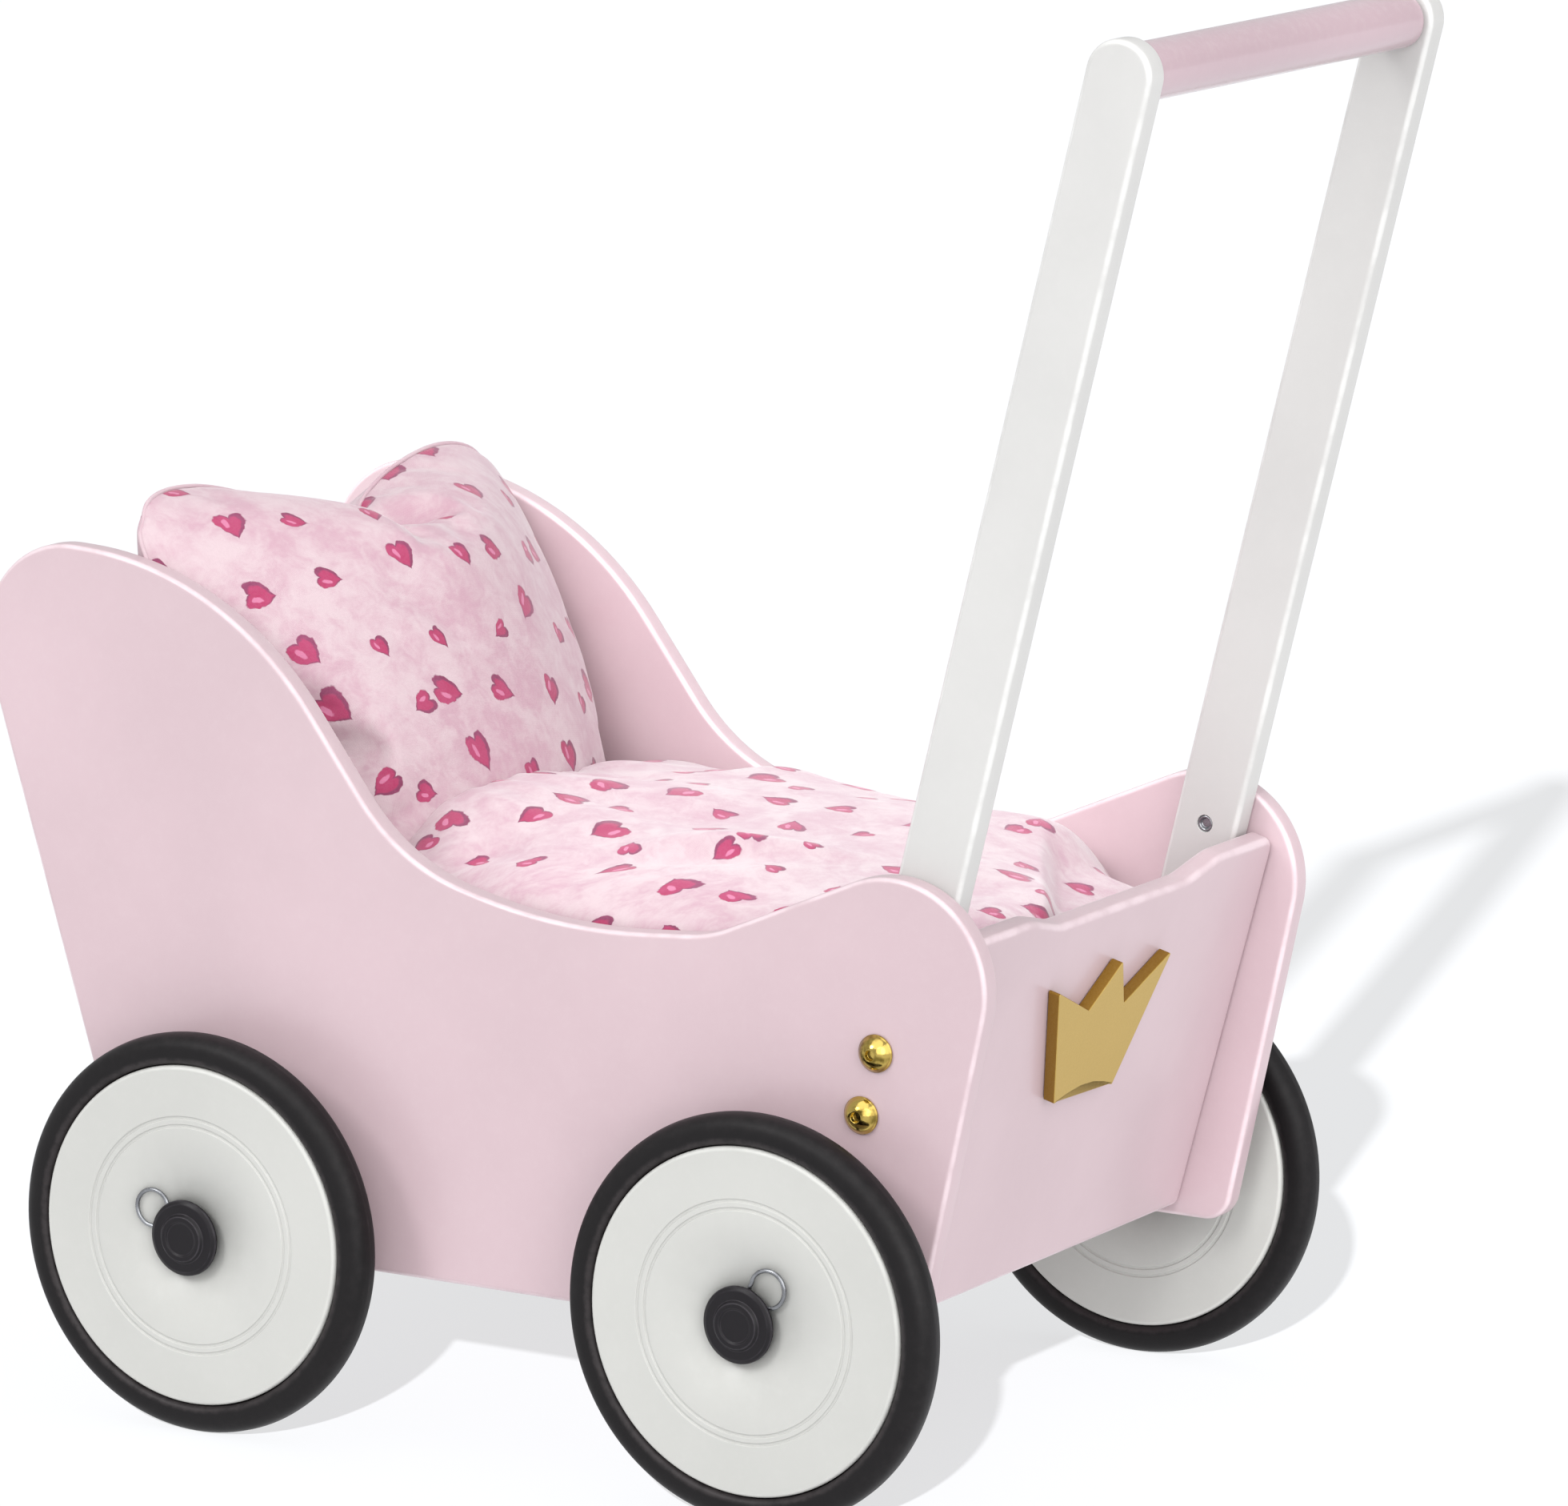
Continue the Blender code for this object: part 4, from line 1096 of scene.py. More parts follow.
    def make_bolt(self, hand: str, side: int, level: str) -> None:
        """A domed brass bolt: a cap of a sphere with a socket, turned round where the real one is a hexagon,
        a rolled rim and its shank.
        """
        node = f"handle_bolt_{level}_{hand}"
        low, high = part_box(node)
        radius = (high.x - low.x) / 2 / MM
        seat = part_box(f"side_panel_{hand}")[1 if side > 0 else 0].y + side * self.gap
        outer = side * max(abs(low.y), abs(high.y))
        inner = side * min(abs(low.y), abs(high.y))
        height = abs(outer - seat) / MM
        depth = abs(seat - inner) / MM
        dome_radius = (radius**2 + height**2) / (2 * height)
        reach = math.asin(min(1.0, (radius - 0.35) / dome_radius))
        angles = np.linspace(math.asin(2.1 / dome_radius), reach, 14)
        dome = np.stack([np.sin(angles), np.cos(angles)], axis=-1) * dome_radius
        dome[:, 1] += height - dome_radius
        socket = [(0.0, height - 2.4), (1.9, height - 2.4), (1.95, dome[0, 1] - 0.25)]
        rim = [(radius, 0.55), (radius, 0.15), (radius - 0.3, 0.0), (1.8, 0.0), (1.8, -depth + 0.3)]
        rim += [(1.5, -depth), (0.0, -depth)]
        profile = np.vstack([socket, dome, rim]) * MM
        place = box_middle(node)
        matrix = Matrix.Translation((place.x, seat, place.z)) @ outward(side, 0.3)
        add_piece(f"dome_bolt_{level}_{hand}", turned(profile, matrix, 60), BRASS, "frame", [node])


@dataclass
class Tub:
    """The wavy side boards, the two leaning end boards, the floor board and the crown plaque."""

    side_corners: tuple = (
        ((-167.5, 67), 12),
        ((183.5, 67), 12),
        ((269.5, 341), 40),
        ((141.5, 335), 140),
        ((62, 230.5), 83),
        ((-7, 211.5), 240),
        ((-77, 217), 55),
        ((-212.5, 276.5), 41),
    )
    rounding: float = 2.1 * MM
    end_lean: float = math.radians(14.8)
    end_thickness: float = 10 * MM
    end_base_z: float = 67.8 * MM
    foot_base_x: float = -146 * MM
    head_base_x: float = 164.5 * MM
    foot_height: float = 162.5
    head_height: float = 240.0
    crown_thickness: float = 5 * MM
    crown_corners: tuple = (
        ((-16.5, 79.5), 0.7),
        ((6, 86), 60),
        ((30, 81), 0.7),
        ((50, 131), 0.8),
        ((20.5, 118), 0.8),
        ((1.5, 134.7), 0.8),
        ((-8.5, 115.5), 0.8),
        ((-39.5, 131.5), 0.8),
    )
    gap: float = 0.3 * MM

    def make(self) -> None:
        """Build the boards and the crown, and finish the dowels."""
        for hand in SIDES:
            self.make_side(hand)
        self.make_end("foot", self.foot_base_x, -self.end_lean, self.foot_height)
        self.make_end("head", self.head_base_x, self.end_lean, self.head_height)
        self.make_floor()
        self.make_crown()
        self.finish_dowels()

    def make_side(self, hand: str) -> None:
        """A side board, with rounded edges, its axle holes and its bolt holes."""
        low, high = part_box(f"side_panel_{hand}")
        corners = [((x * MM, z * MM), radius * MM) for (x, z), radius in self.side_corners]
        middle = (low.y + high.y) / 2
        matrix = frame_of((1, 0, 0), (0, 0, 1), (0, middle, 0))
        board = slab(rounded_outline(corners, 0.035), high.y - low.y, self.rounding, matrix, 7)
        side = add_piece(f"side_board_{hand}", board, PINK_BOARD, "frame", [f"side_panel_{hand}"])
        holes = [(box_middle(f"{end}_axle"), 4.3 * MM) for end in ENDS]
        holes += [(box_middle(f"handle_bolt_{level}_{hand}"), 2.1 * MM) for level in BOLT_LEVELS]
        reach = (low.y - 2 * MM, high.y + 2 * MM)
        bore_out(side, [Bore(*[(p.x, y, p.z) for y in reach], radius) for p, radius in holes])

    def end_plane(self, base_x: float, lean: float) -> Matrix:
        """The middle plane of an end board: X across the pram, Y up the slope from its base."""
        inwards = self.end_thickness / 2 * math.copysign(1, -base_x)
        up = Vector((math.sin(lean), 0, math.cos(lean)))
        normal = Vector((math.cos(lean), 0, -math.sin(lean)))
        return frame_of((0, 1, 0), up, Vector((base_x, 0, self.end_base_z)) + normal * inwards)

    def make_end(self, end: str, base_x: float, lean: float, height: float) -> None:
        """An end board: a rectangle whose top edge steps down between two shoulders."""
        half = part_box(f"{end}_end_panel")[1].y / MM
        right = [((half, 3.8), 3.6), ((half, height), 6), ((74, height), 30), ((50, height - 6), 30)]
        left = [((-x, y), radius) for (x, y), radius in reversed(right)]
        corners = [((x * MM, y * MM), radius * MM) for (x, y), radius in right + left]
        matrix = self.end_plane(base_x, lean)
        board = slab(rounded_outline(corners, 0.08), self.end_thickness, 3.0 * MM, matrix, 7)
        add_piece(f"{end}_board", board, PINK_BOARD, "frame", [f"{end}_end_panel"])

    def make_floor(self) -> None:
        """The flat floor board between the other four."""
        low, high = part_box("floor_panel")
        middle = (low + high) / 2
        half = (high - low) / 2
        corners = [((x * half.x, y * half.y), 1.5 * MM) for x, y in SQUARE]
        matrix = frame_of((1, 0, 0), (0, 1, 0), middle)
        board = slab(rounded_outline(corners, 0.3), 2 * half.z, 1.0 * MM, matrix, 3)
        add_piece("floor_board", board, PINK_BOARD, "frame", ["floor_panel"])

    def make_crown(self) -> None:
        """The three-pointed crown: wider at its points than at its hollow base."""
        corners = [((x * MM, y * MM), radius * MM) for (x, y), radius in self.crown_corners]
        out = -(self.end_thickness + self.crown_thickness) / 2 - self.gap
        matrix = self.end_plane(self.foot_base_x, -self.end_lean) @ Matrix.Translation((0, 0, out))
        plaque = slab(rounded_outline(corners, 0.2), self.crown_thickness, 0.45 * MM, matrix, 4)
        add_piece("crown_plaque", plaque, GOLD, "frame", ["crown_emblem"])

    def finish_dowels(self) -> None:
        """Give the hidden dowels their bare wood."""
        for name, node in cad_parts.items():
            if name.startswith("dowel_"):
                node.data.materials.clear()
                node.data.materials.append(BARE_BEECH.material())


@dataclass
class Wheel:
    """One wheel: a lacquered disc, its rubber tyre, a sleeve, a hub button and a spring clip."""

    end: str
    hand: str
    clip_lean: float
    ring_groove: tuple[float, float] = (43.4, 46.6)
    groove_depth: float = 0.55
    clip_wire: float = 0.85 * MM
    clip_height: float = 1.6 * MM

    def __post_init__(self) -> None:
        """Read the wheel's middle and side from its disc."""
        self.name = f"{self.end}_{self.hand}"
        self.side = SIDES[self.hand]
        self.centre = box_middle(f"wheel_disc_{self.name}")
        low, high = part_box(f"wheel_disc_{self.name}")
        self.half_thickness = (high.y - low.y) / 2
        self.disc_radius = (high.z - low.z) / 2
        self.face = self.centre + Vector((0, self.side * self.half_thickness, 0))
        self.body = f"wheel_{self.name}"
        self.axle_body = f"{self.end}_axle_set"

    def make(self) -> None:
        """Build the wheel's five pieces."""
        self.make_disc()
        self.make_tyre()
        self.make_sleeve()
        self.make_button()
        self.make_clip()

    def placed(self, centre: Vector, spin: float = 0.0) -> Matrix:
        """A turned piece's place: its axis points out of the pram's side."""
        return Matrix.Translation(centre) @ outward(self.side, spin)

    def make_disc(self) -> None:
        """The disc: two fine routed rings on each face, eased rims and a groove for the tyre."""
        t = self.half_thickness / MM
        radius = self.disc_radius / MM
        inner, outer = self.ring_groove
        depth = self.groove_depth
        half = [(4.3, t, 0.5)]
        for ring in (inner, outer):
            half += [(ring - 0.75, t, 0.2), (ring - 0.3, t - depth, 0.15)]
            half += [(ring + 0.3, t - depth, 0.15), (ring + 0.75, t, 0.2)]
        half += [(radius, t, 1.6), (radius, 2.9, 0.0), (radius - 3, 2.9, 0.0)]
        corners = half + [(r, -h, e) for r, h, e in reversed(half)]
        profile = rounded_profile(corners)
        disc = turned(profile, self.placed(self.centre), 128, ring=True)
        add_piece(f"disc_{self.name}", disc, WHITE_WHEEL, self.body, [f"wheel_disc_{self.name}"])

    def make_tyre(self) -> None:
        """The tyre: a full rounded section with a mould line, and a rib in the disc's groove.

        The section's outer part is a superellipse, (r', h') with |r'|^2.5 + |h'|^2.5 = 1.
        """
        low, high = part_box(f"tyre_{self.name}")
        half_width = (high.y - low.y) / 2 / MM
        tread = high.z - self.centre.z
        seat = self.disc_radius / MM + 0.6
        middle = seat + 3.6
        reach = tread / MM - middle
        angles = np.linspace(-math.pi / 2, math.pi / 2, 29)
        power = 2 / 2.5
        r = middle + reach * np.abs(np.cos(angles)) ** power
        h = half_width * np.sign(np.sin(angles)) * np.abs(np.sin(angles)) ** power
        r += 0.12 * np.exp(-((h / 0.35) ** 2)) - 0.12
        inside = [(middle - 2.2, half_width), (seat, half_width - 1.2), (seat, 2.6), (seat - 3, 2.6)]
        rows = [(a, -b) for a, b in inside[::-1]] + list(zip(r, h)) + inside
        profile = np.array(rows)[::-1] * MM
        tyre = turned(profile, self.placed(self.centre), 144, ring=True)
        add_piece(f"rubber_tyre_{self.name}", tyre, TYRE_RUBBER, self.body, [f"tyre_{self.name}"])

    def make_sleeve(self) -> None:
        """The plastic sleeve that keeps the wheel off the side board."""
        low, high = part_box(f"spacer_{self.name}")
        half = (high.y - low.y) / 2 / MM
        upper = [(4.3, half, 0), (4.6, half, 0), (8, half, 0.8)]
        corners = upper + [(r, -h, e) for r, h, e in reversed(upper)]
        profile = rounded_profile(corners)
        sleeve = turned(profile, self.placed(box_middle(f"spacer_{self.name}")), 48, ring=True)
        add_piece(f"axle_sleeve_{self.name}", sleeve, BLACK_PLASTIC, self.axle_body, [f"spacer_{self.name}"])

    def make_button(self) -> None:
        """The hub button: a neck, a wide flange with a rolled rim and a low boss."""
        low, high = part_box(f"hub_cap_{self.name}")
        height = (high.y - low.y) / MM + 0.3
        flange = (high.z - low.z) / 2 / MM
        rows = [(0, height - 0.5, 0), (6.2, height - 0.5, 0.6), (7.0, height, 0.3), (8.8, height, 0.7)]
        rows += [(9.8, height - 1.3, 0.5), (flange - 1.6, height - 1.5, 1.2), (flange, height - 2.4, 1.0)]
        rows += [(flange, 3.0, 0.3), (8.5, 3.0, 0.4), (8.5, 0.3, 0.2), (0, 0.3, 0)]
        button = turned(rounded_profile(rows), self.placed(self.face), 72)
        add_piece(f"hub_button_{self.name}", button, BLACK_PLASTIC, self.axle_body, [f"hub_cap_{self.name}"])

    def make_clip(self) -> None:
        """The spring clip: a straight leg through the axle, a ring and a waved outer leg."""
        ring_centre, ring_radius = 18.6, 7.25
        turn = np.radians(215 + 26.5 * np.arange(11))
        ring = np.stack([ring_centre + ring_radius * np.cos(turn), ring_radius * np.sin(turn)], axis=-1)
        before = [(-11, 0), (-5, 0), (0, 0), (5, 0), (9.3, 0), (11, -1.8)]
        after = [(11.6, 5.7), (9.4, 7.2), (5.6, 9.6), (0, 10.6), (-5.4, 9.8), (-9, 11.4)]
        flat = eased_path(np.vstack([before, ring, after]) * MM, 5)
        path = np.column_stack([flat, np.full(len(flat), self.clip_height)])
        spin = -math.radians(90 - self.clip_lean)
        wire = tube(path, self.clip_wire, np.array([0.0, 0.0, 1.0]), 10)
        wire.points = moved(wire.points, self.placed(self.face, spin))
        add_piece(f"clip_wire_{self.name}", wire, ZINC, self.axle_body, [f"spring_clip_{self.name}"])


@dataclass
class Axle:
    """A zinc-plated rod with eased ends."""

    end: str

    def make(self) -> None:
        """Turn the rod: its radius and length are the CAD rod's."""
        low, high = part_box(f"{self.end}_axle")
        radius = (high.z - low.z) / 2 / MM
        half = high.y / MM
        half_rows = [(0, half, 0), (radius - 0.6, half, 0), (radius, half - 0.6, 0)]
        rows = half_rows + [(r, -h, e) for r, h, e in reversed(half_rows)]
        middle = box_middle(f"{self.end}_axle")
        matrix = Matrix.Translation(middle) @ outward(1)
        rod = turned(rounded_profile(rows), matrix, 40)
        add_piece(f"axle_rod_{self.end}", rod, ZINC, f"{self.end}_axle_set", [f"{self.end}_axle"])


# ---------------------------------------------------------------- bedding


@dataclass(frozen=True)
class Puff:
    """How a sewn case is blown up by the cloth simulation."""

    pressure: float
    frames: int = 20
    stiffness: float = 15.0
    bending: float = 0.5
    cap: float = 60 * MM


@dataclass
class SewnCase:
    """Two sheets of cloth on the same grid, sewn together round their border."""

    rows: int
    columns: int

    def __post_init__(self) -> None:
        """Number the points: the front sheet in full, then the back sheet's inner points."""
        count = self.rows * self.columns
        index = np.arange(count).reshape(self.rows, self.columns)
        border = np.ones((self.rows, self.columns), bool)
        border[1:-1, 1:-1] = False
        self.border = border.ravel()
        self.front_quads = grid_faces(self.rows, self.columns)
        back_number = np.where(self.border, np.arange(count), count + np.cumsum(~self.border) - 1)
        self.back_quads = back_number[self.front_quads][:, ::-1]
        ring = [index[0, :-1], index[:-1, -1], index[-1, :0:-1], index[:0:-1, 0]]
        self.seam = np.concatenate(ring)

    def surface(self, front: Array, back: Array, front_uv: Array, back_uv: Array) -> Surface:
        """Sew two sheets of grid points into one closed surface with a UV map in metres."""
        points = np.vstack([front, back[~self.border]])
        quads = np.vstack([self.front_quads, self.back_quads])
        corner_uv = np.vstack([front_uv[self.front_quads], back_uv[self.front_quads[:, ::-1]]])
        return Surface(points, quads, corner_uv=corner_uv.reshape(-1, 2))


def blow_up(piece: bpy.types.Object, puff: Puff) -> None:
    """Run the cloth simulation on a piece and keep its last shape.

    Each point moves by the simulation's own step, shortened to the cap where it is longer.

    Args:
        piece: a closed piece whose mesh is the unstrained cloth.
        puff: the pressure, the number of frames and the cap.
    """
    rest = points_of(piece.data)
    cloth = piece.modifiers.new("cloth", "CLOTH")
    settings = cloth.settings
    settings.quality = 6
    settings.mass = 0.3
    settings.tension_stiffness = settings.compression_stiffness = puff.stiffness
    settings.shear_stiffness = puff.stiffness / 3
    settings.bending_stiffness = puff.bending
    settings.use_pressure = True
    settings.uniform_pressure_force = puff.pressure
    settings.effector_weights.gravity = 0
    cloth.point_cache.frame_start = 1
    cloth.point_cache.frame_end = puff.frames
    scene = bpy.context.scene
    for number in range(1, puff.frames + 1):
        scene.frame_set(number)
    graph = bpy.context.evaluated_depsgraph_get()
    blown = points_of(piece.evaluated_get(graph).data)
    piece.modifiers.remove(cloth)
    scene.frame_set(1)
    step = blown - rest
    length = np.linalg.norm(step, axis=1, keepdims=True)
    step *= np.minimum(1, puff.cap / np.maximum(length, 1e-9))
    set_points(piece.data, rest + step)
    LOG.info("%s: blown up over %d frames, longest move %.1f mm", piece.name, puff.frames, length.max() / MM)


def points_of(mesh: bpy.types.Mesh) -> Array:
    """A mesh's points as rows."""
    flat = np.empty(len(mesh.vertices) * 3, np.float32)
    mesh.vertices.foreach_get("co", flat)
    return flat.reshape(-1, 3).astype(float)


def set_points(mesh: bpy.types.Mesh, points: Array) -> None:
    """Give a mesh new points."""
    mesh.vertices.foreach_set("co", points.astype(np.float32).ravel())
    mesh.update()


def evened(ring: Array, times: int = 3) -> Array:
    """A closed ring of points with its small kinks taken out by averaging each with its neighbours."""
    for _ in range(times):
        ring = (np.roll(ring, 1, axis=0) + 2 * ring + np.roll(ring, -1, axis=0)) / 4
    return ring


def waves(place: Array, seed: int, count: int, shortest: float, longest: float) -> Array:
    """Smooth seeded waves: the mean of sines with random directions, lengths and phases.

    Args:
        place: rows of points.
        seed: number that fixes the waves.
        count: how many sines.
        shortest: their shortest length.
        longest: their longest length.

    Returns:
        One value of about -1 to 1 for each point.
    """
    random = np.random.default_rng(seed)
    way = random.normal(size=(count, place.shape[1]))
    way /= np.linalg.norm(way, axis=1, keepdims=True)
    length = random.uniform(shortest, longest, count)
    phase = random.uniform(0, math.tau, count)
    return np.sin(place @ (way / length[:, None]).T * math.tau + phase).sum(axis=1) / math.sqrt(count)


def soften(piece: bpy.types.Object, levels: int = 1) -> None:
    """Add the last subdivision to a piece of bedding."""
    finer = piece.modifiers.new("soften", "SUBSURF")
    finer.levels = finer.render_levels = levels


@dataclass
class Pillow:
    """A square stuffed pillow that leans back over the head board."""

    lean: float = math.radians(20.8)
    twist: float = math.radians(8)
    yaw: float = math.radians(3)
    flat_width: float = 262 * MM
    flat_height: float = 251 * MM
    rise: float = 3.5 * MM
    tilt: float = 0.074
    room: float = 118.5 * MM
    flare: float = 0.05
    bow: float = 0.03
    crest: float = 0.08
    ear: float = 0.10
    start: float = 22 * MM
    count: int = 76
    puff: Puff = Puff(pressure=9.0, frames=22)
    fill: float = 0.75
    cord: float = 0.9 * MM

    def settled(self, local: Array) -> Array:
        """The upright pillow wrung and tilted a little, and pressed in between the two side boards.

        Each point turns about the y axis by the twist times its share of half the width, and rises by
        the tilt times y. Past nine tenths of the room, y eases towards the room by a tanh.
        """
        x, y, z = local.T
        angle = self.twist * y / (self.flat_width / 2)
        turned_x = x * np.cos(angle) + z * np.sin(angle)
        turned_z = z * np.cos(angle) - x * np.sin(angle) + self.tilt * y
        free = 0.9 * self.room
        beyond = np.maximum(np.abs(y) - free, 0) / (self.room - free)
        pressed = np.sign(y) * (np.minimum(np.abs(y), free) + (self.room - free) * np.tanh(beyond))
        return np.column_stack([turned_x, pressed, turned_z])

    def make(self) -> None:
        """Lay out the two sheets, blow them up, lean the pillow and pipe its seam.

        The sheets are squares whose sides bow out by `bow`, whose top edge bows up by `crest`, whose
        top is wider than the bottom by `flare` and whose corners are drawn in by `ear` times the
        twelfth-order product of the two shares.
        """
        case = SewnCase(self.count, self.count)
        share = np.linspace(-1, 1, self.count)
        across, up = (grid.ravel() for grid in np.meshgrid(share, share, indexing="ij"))
        trim = 1 - self.ear * (across * up) ** 6
        wide = across * trim * (1 + self.bow * (1 - up**2) + self.flare * up)
        tall = up * trim * (1 + np.where(up > 0, self.crest, self.bow) * (1 - across**2))
        flat = np.stack([wide * self.flat_width / 2, tall * self.flat_height / 2], axis=-1)
        rise = self.start * (1 - across**4) * (1 - up**4)
        rise += 1.2 * MM * waves(flat, 5, 12, 30 * MM, 80 * MM) * (1 - across**2) * (1 - up**2)
        front = np.column_stack([-rise, flat])
        back = np.column_stack([rise, flat])
        surface = case.surface(front, back, flat, flat + 0.4)
        surface.quads = surface.quads[:, ::-1]
        surface.corner_uv = surface.corner_uv.reshape(-1, 4, 2)[:, ::-1].reshape(-1, 2)
        pillow = add_piece("heart_pillow", surface, HEART_COTTON, "pillow", ["pillow"])
        blow_up(pillow, self.puff)
        local = points_of(pillow.data)
        LOG.info("pillow measures %s mm", np.round(np.ptp(local, axis=0) / MM, 1))
        local = self.settled(local)
        matrix = Matrix.Translation(box_middle("pillow")) @ Matrix.Rotation(self.yaw, 4, "Z")
        matrix @= Matrix.Rotation(self.lean, 4, "Y")
        matrix @= Matrix.Translation((0, 0, self.rise))
        set_points(pillow.data, moved(local, matrix))
        soften(pillow)
        seam = evened(points_of(pillow.data)[case.seam])
        add_piece("pillow_seam", cord_around(seam, self.cord), SEAM_COTTON, "pillow", [])


@dataclass
class Duvet:
    """A thick duvet that fills the tub from the pillow to the foot board."""

    half_width: float = 115.5 * MM
    seam_z: float = 190 * MM
    bottom_z: float = 136.4 * MM
    top_z: float = 238 * MM
    foot_x: float = -171 * MM
    head_x: float = 84 * MM
    foot_lean: float = math.tan(math.radians(14.8))
    head_lean: float = math.tan(math.radians(25.2))
    power: float = 5.0
    head_power: float = 9.0
    foot_power: float = 6.0
    sag: float = 8 * MM
    fold_start: tuple[float, float] = (-184 * MM, 54 * MM)
    fold_depth: float = 11 * MM
    crease_depth: float = 3.4 * MM
    wrinkle: float = 1.3 * MM
    gather: float = 0.6 * MM
    crowding: float = 0.35
    rows: int = 120
    columns: int = 100
    puff: Puff = Puff(pressure=2.5, frames=12, cap=7 * MM)
    fill: float = 0.6
    cord: float = 0.6 * MM

    def dome(self, along: Array, across: Array) -> Array:
        """How full the case is at a point: (1 - |a|^m)^(1/m) times (1 - |b|^n)^(1/n).

        The power m is the foot end's in the foot half and the head end's in the head half.
        """
        power = np.where(along < 0, self.foot_power, self.head_power)
        lengthwise = np.clip(1 - np.abs(along) ** power, 0, 1) ** (1 / power)
        return lengthwise * np.clip(1 - np.abs(across) ** self.power, 0, 1) ** (1 / self.power)

    def sheet(self, along: Array, across: Array, top: bool) -> Array:
        """One sheet's points.

        The height is the seam's plus the dome's share of the way to the top or bottom. The two ends
        lean with the foot board and the pillow: x moves by the height over the seam times the
        tangent of each end's lean, eased from one end to the other.
        """
        full = self.dome(along, across)
        target = self.top_z if top else self.bottom_z
        height = self.seam_z + (target - self.seam_z) * full
        y = across * self.half_width
        narrow = 48 * MM * smooth_step((np.abs(y) - 88 * MM) / (30 * MM))
        foot = self.foot_x + narrow
        x = foot + (self.head_x - foot) * (along + 1) / 2
        lean = -self.foot_lean + (self.head_lean + self.foot_lean) * (along + 1) / 2
        x = x + (height - self.seam_z) * lean
        return np.column_stack([x, y, height])

    def droop(self, points: Array) -> Array:
        """How the top's height changes at each point.

        It sags from head to foot, sinks at the foot end, most at its right corner, and at the head end
        stands full in the middle and falls to the left.
        """
        x, y = points[:, 0], points[:, 1]
        near_foot = smooth_step((-80 * MM - x) / (80 * MM))
        slope = np.clip(70 * MM - y, 0, 130 * MM)
        near_head = smooth_step((x - 5 * MM) / (60 * MM))
        sag = self.sag * smooth_step((100 * MM - x) / (230 * MM))
        head_edge = 7 * MM * smooth_step((y + 45 * MM) / (60 * MM)) - 2 * MM
        head_edge -= 17 * MM * smooth_step((y - 55 * MM) / (45 * MM))
        return near_head * head_edge - sag - near_foot * (2 * MM + 0.09 * slope)

    def folds(self, points: Array) -> Array:
        """Folds and soft wrinkles pressed into the blown-up case: a rise for each point.

        The foot's right corner is tucked down past a slanting line, a crease runs in from the left
        edge, seeded waves cross the whole top, and small gathers fan out from the pillow.
        """
        x, y = points[:, 0], points[:, 1]
        past_fold = -0.87 * (x - self.fold_start[0]) - 0.5 * (y - self.fold_start[1])
        step = 0.5 + 0.5 * np.tanh(past_fold / (1.5 * MM))
        rise = -self.fold_depth * step * smooth_step((-106 * MM - x) / (24 * MM))
        crease_y = 62 * MM + 0.55 * (x + 40 * MM)
        off = (y - crease_y) / (9 * MM)
        hold = np.exp(-(((x + 48 * MM) / (42 * MM)) ** 2)) * smooth_step((y - 25 * MM) / (30 * MM))
        rise -= self.crease_depth * hold * off * np.exp(0.5 - off**2 / 2)
        rise += self.wrinkle * waves(points[:, :2], 11, 16, 40 * MM, 110 * MM)
        radial = np.arctan2(y - 20 * MM, x - 135 * MM)
        near_pillow = np.exp(-(((x - 62 * MM) / (34 * MM)) ** 2))
        return rise + self.gather * near_pillow * np.sin(radial * 24)

    def shares(self, count: int) -> Array:
        """Places from -1 to 1, crowded towards both ends by mixing in a sine of the even ones."""
        even = np.linspace(-1, 1, count)
        return np.sin(even * math.pi / 2) * self.crowding + even * (1 - self.crowding)

    def make(self) -> None:
        """Lay out, fold, blow up and soften the duvet, then pipe its hem."""
        case = SewnCase(self.rows, self.columns)
        grids = np.meshgrid(self.shares(self.rows), self.shares(self.columns), indexing="ij")
        along, across = (grid.ravel() for grid in grids)
        top = self.sheet(along, across, True)
        top[:, 2] += self.droop(top) * smooth_step(self.dome(along, across) * 1.6)
        bottom = self.sheet(along, across, False)
        surface = case.surface(top, bottom, self.laid_flat(top), self.laid_flat(bottom) + 0.5)
        duvet = add_piece("heart_duvet", surface, HEART_COTTON, "duvet", ["duvet"])
        blow_up(duvet, self.puff)
        points = points_of(duvet.data)
        upper = smooth_step((points[:, 2] - self.seam_z) / (18 * MM))
        points[:, 2] += self.folds(points) * upper
        set_points(duvet.data, points)
        soften(duvet)
        seam = evened(points_of(duvet.data)[case.seam])
        add_piece("duvet_hem", cord_around(seam, self.cord), SEAM_COTTON, "duvet", [])

    def laid_flat(self, points: Array) -> Array:
        """The sheet's UV: the lengths walked along its rows and columns, both from its middle."""
        grid = points.reshape(self.rows, self.columns, 3)
        down = np.linalg.norm(np.diff(grid, axis=0), axis=2)
        along = np.linalg.norm(np.diff(grid, axis=1), axis=2)
        u = np.vstack([np.zeros((1, self.columns)), np.cumsum(down, axis=0)])
        v = np.hstack([np.zeros((self.rows, 1)), np.cumsum(along, axis=1)])
        u -= u[self.rows // 2]
        v -= v[:, self.columns // 2][:, None]
        return np.stack([v.ravel(), -u.ravel()], axis=-1)


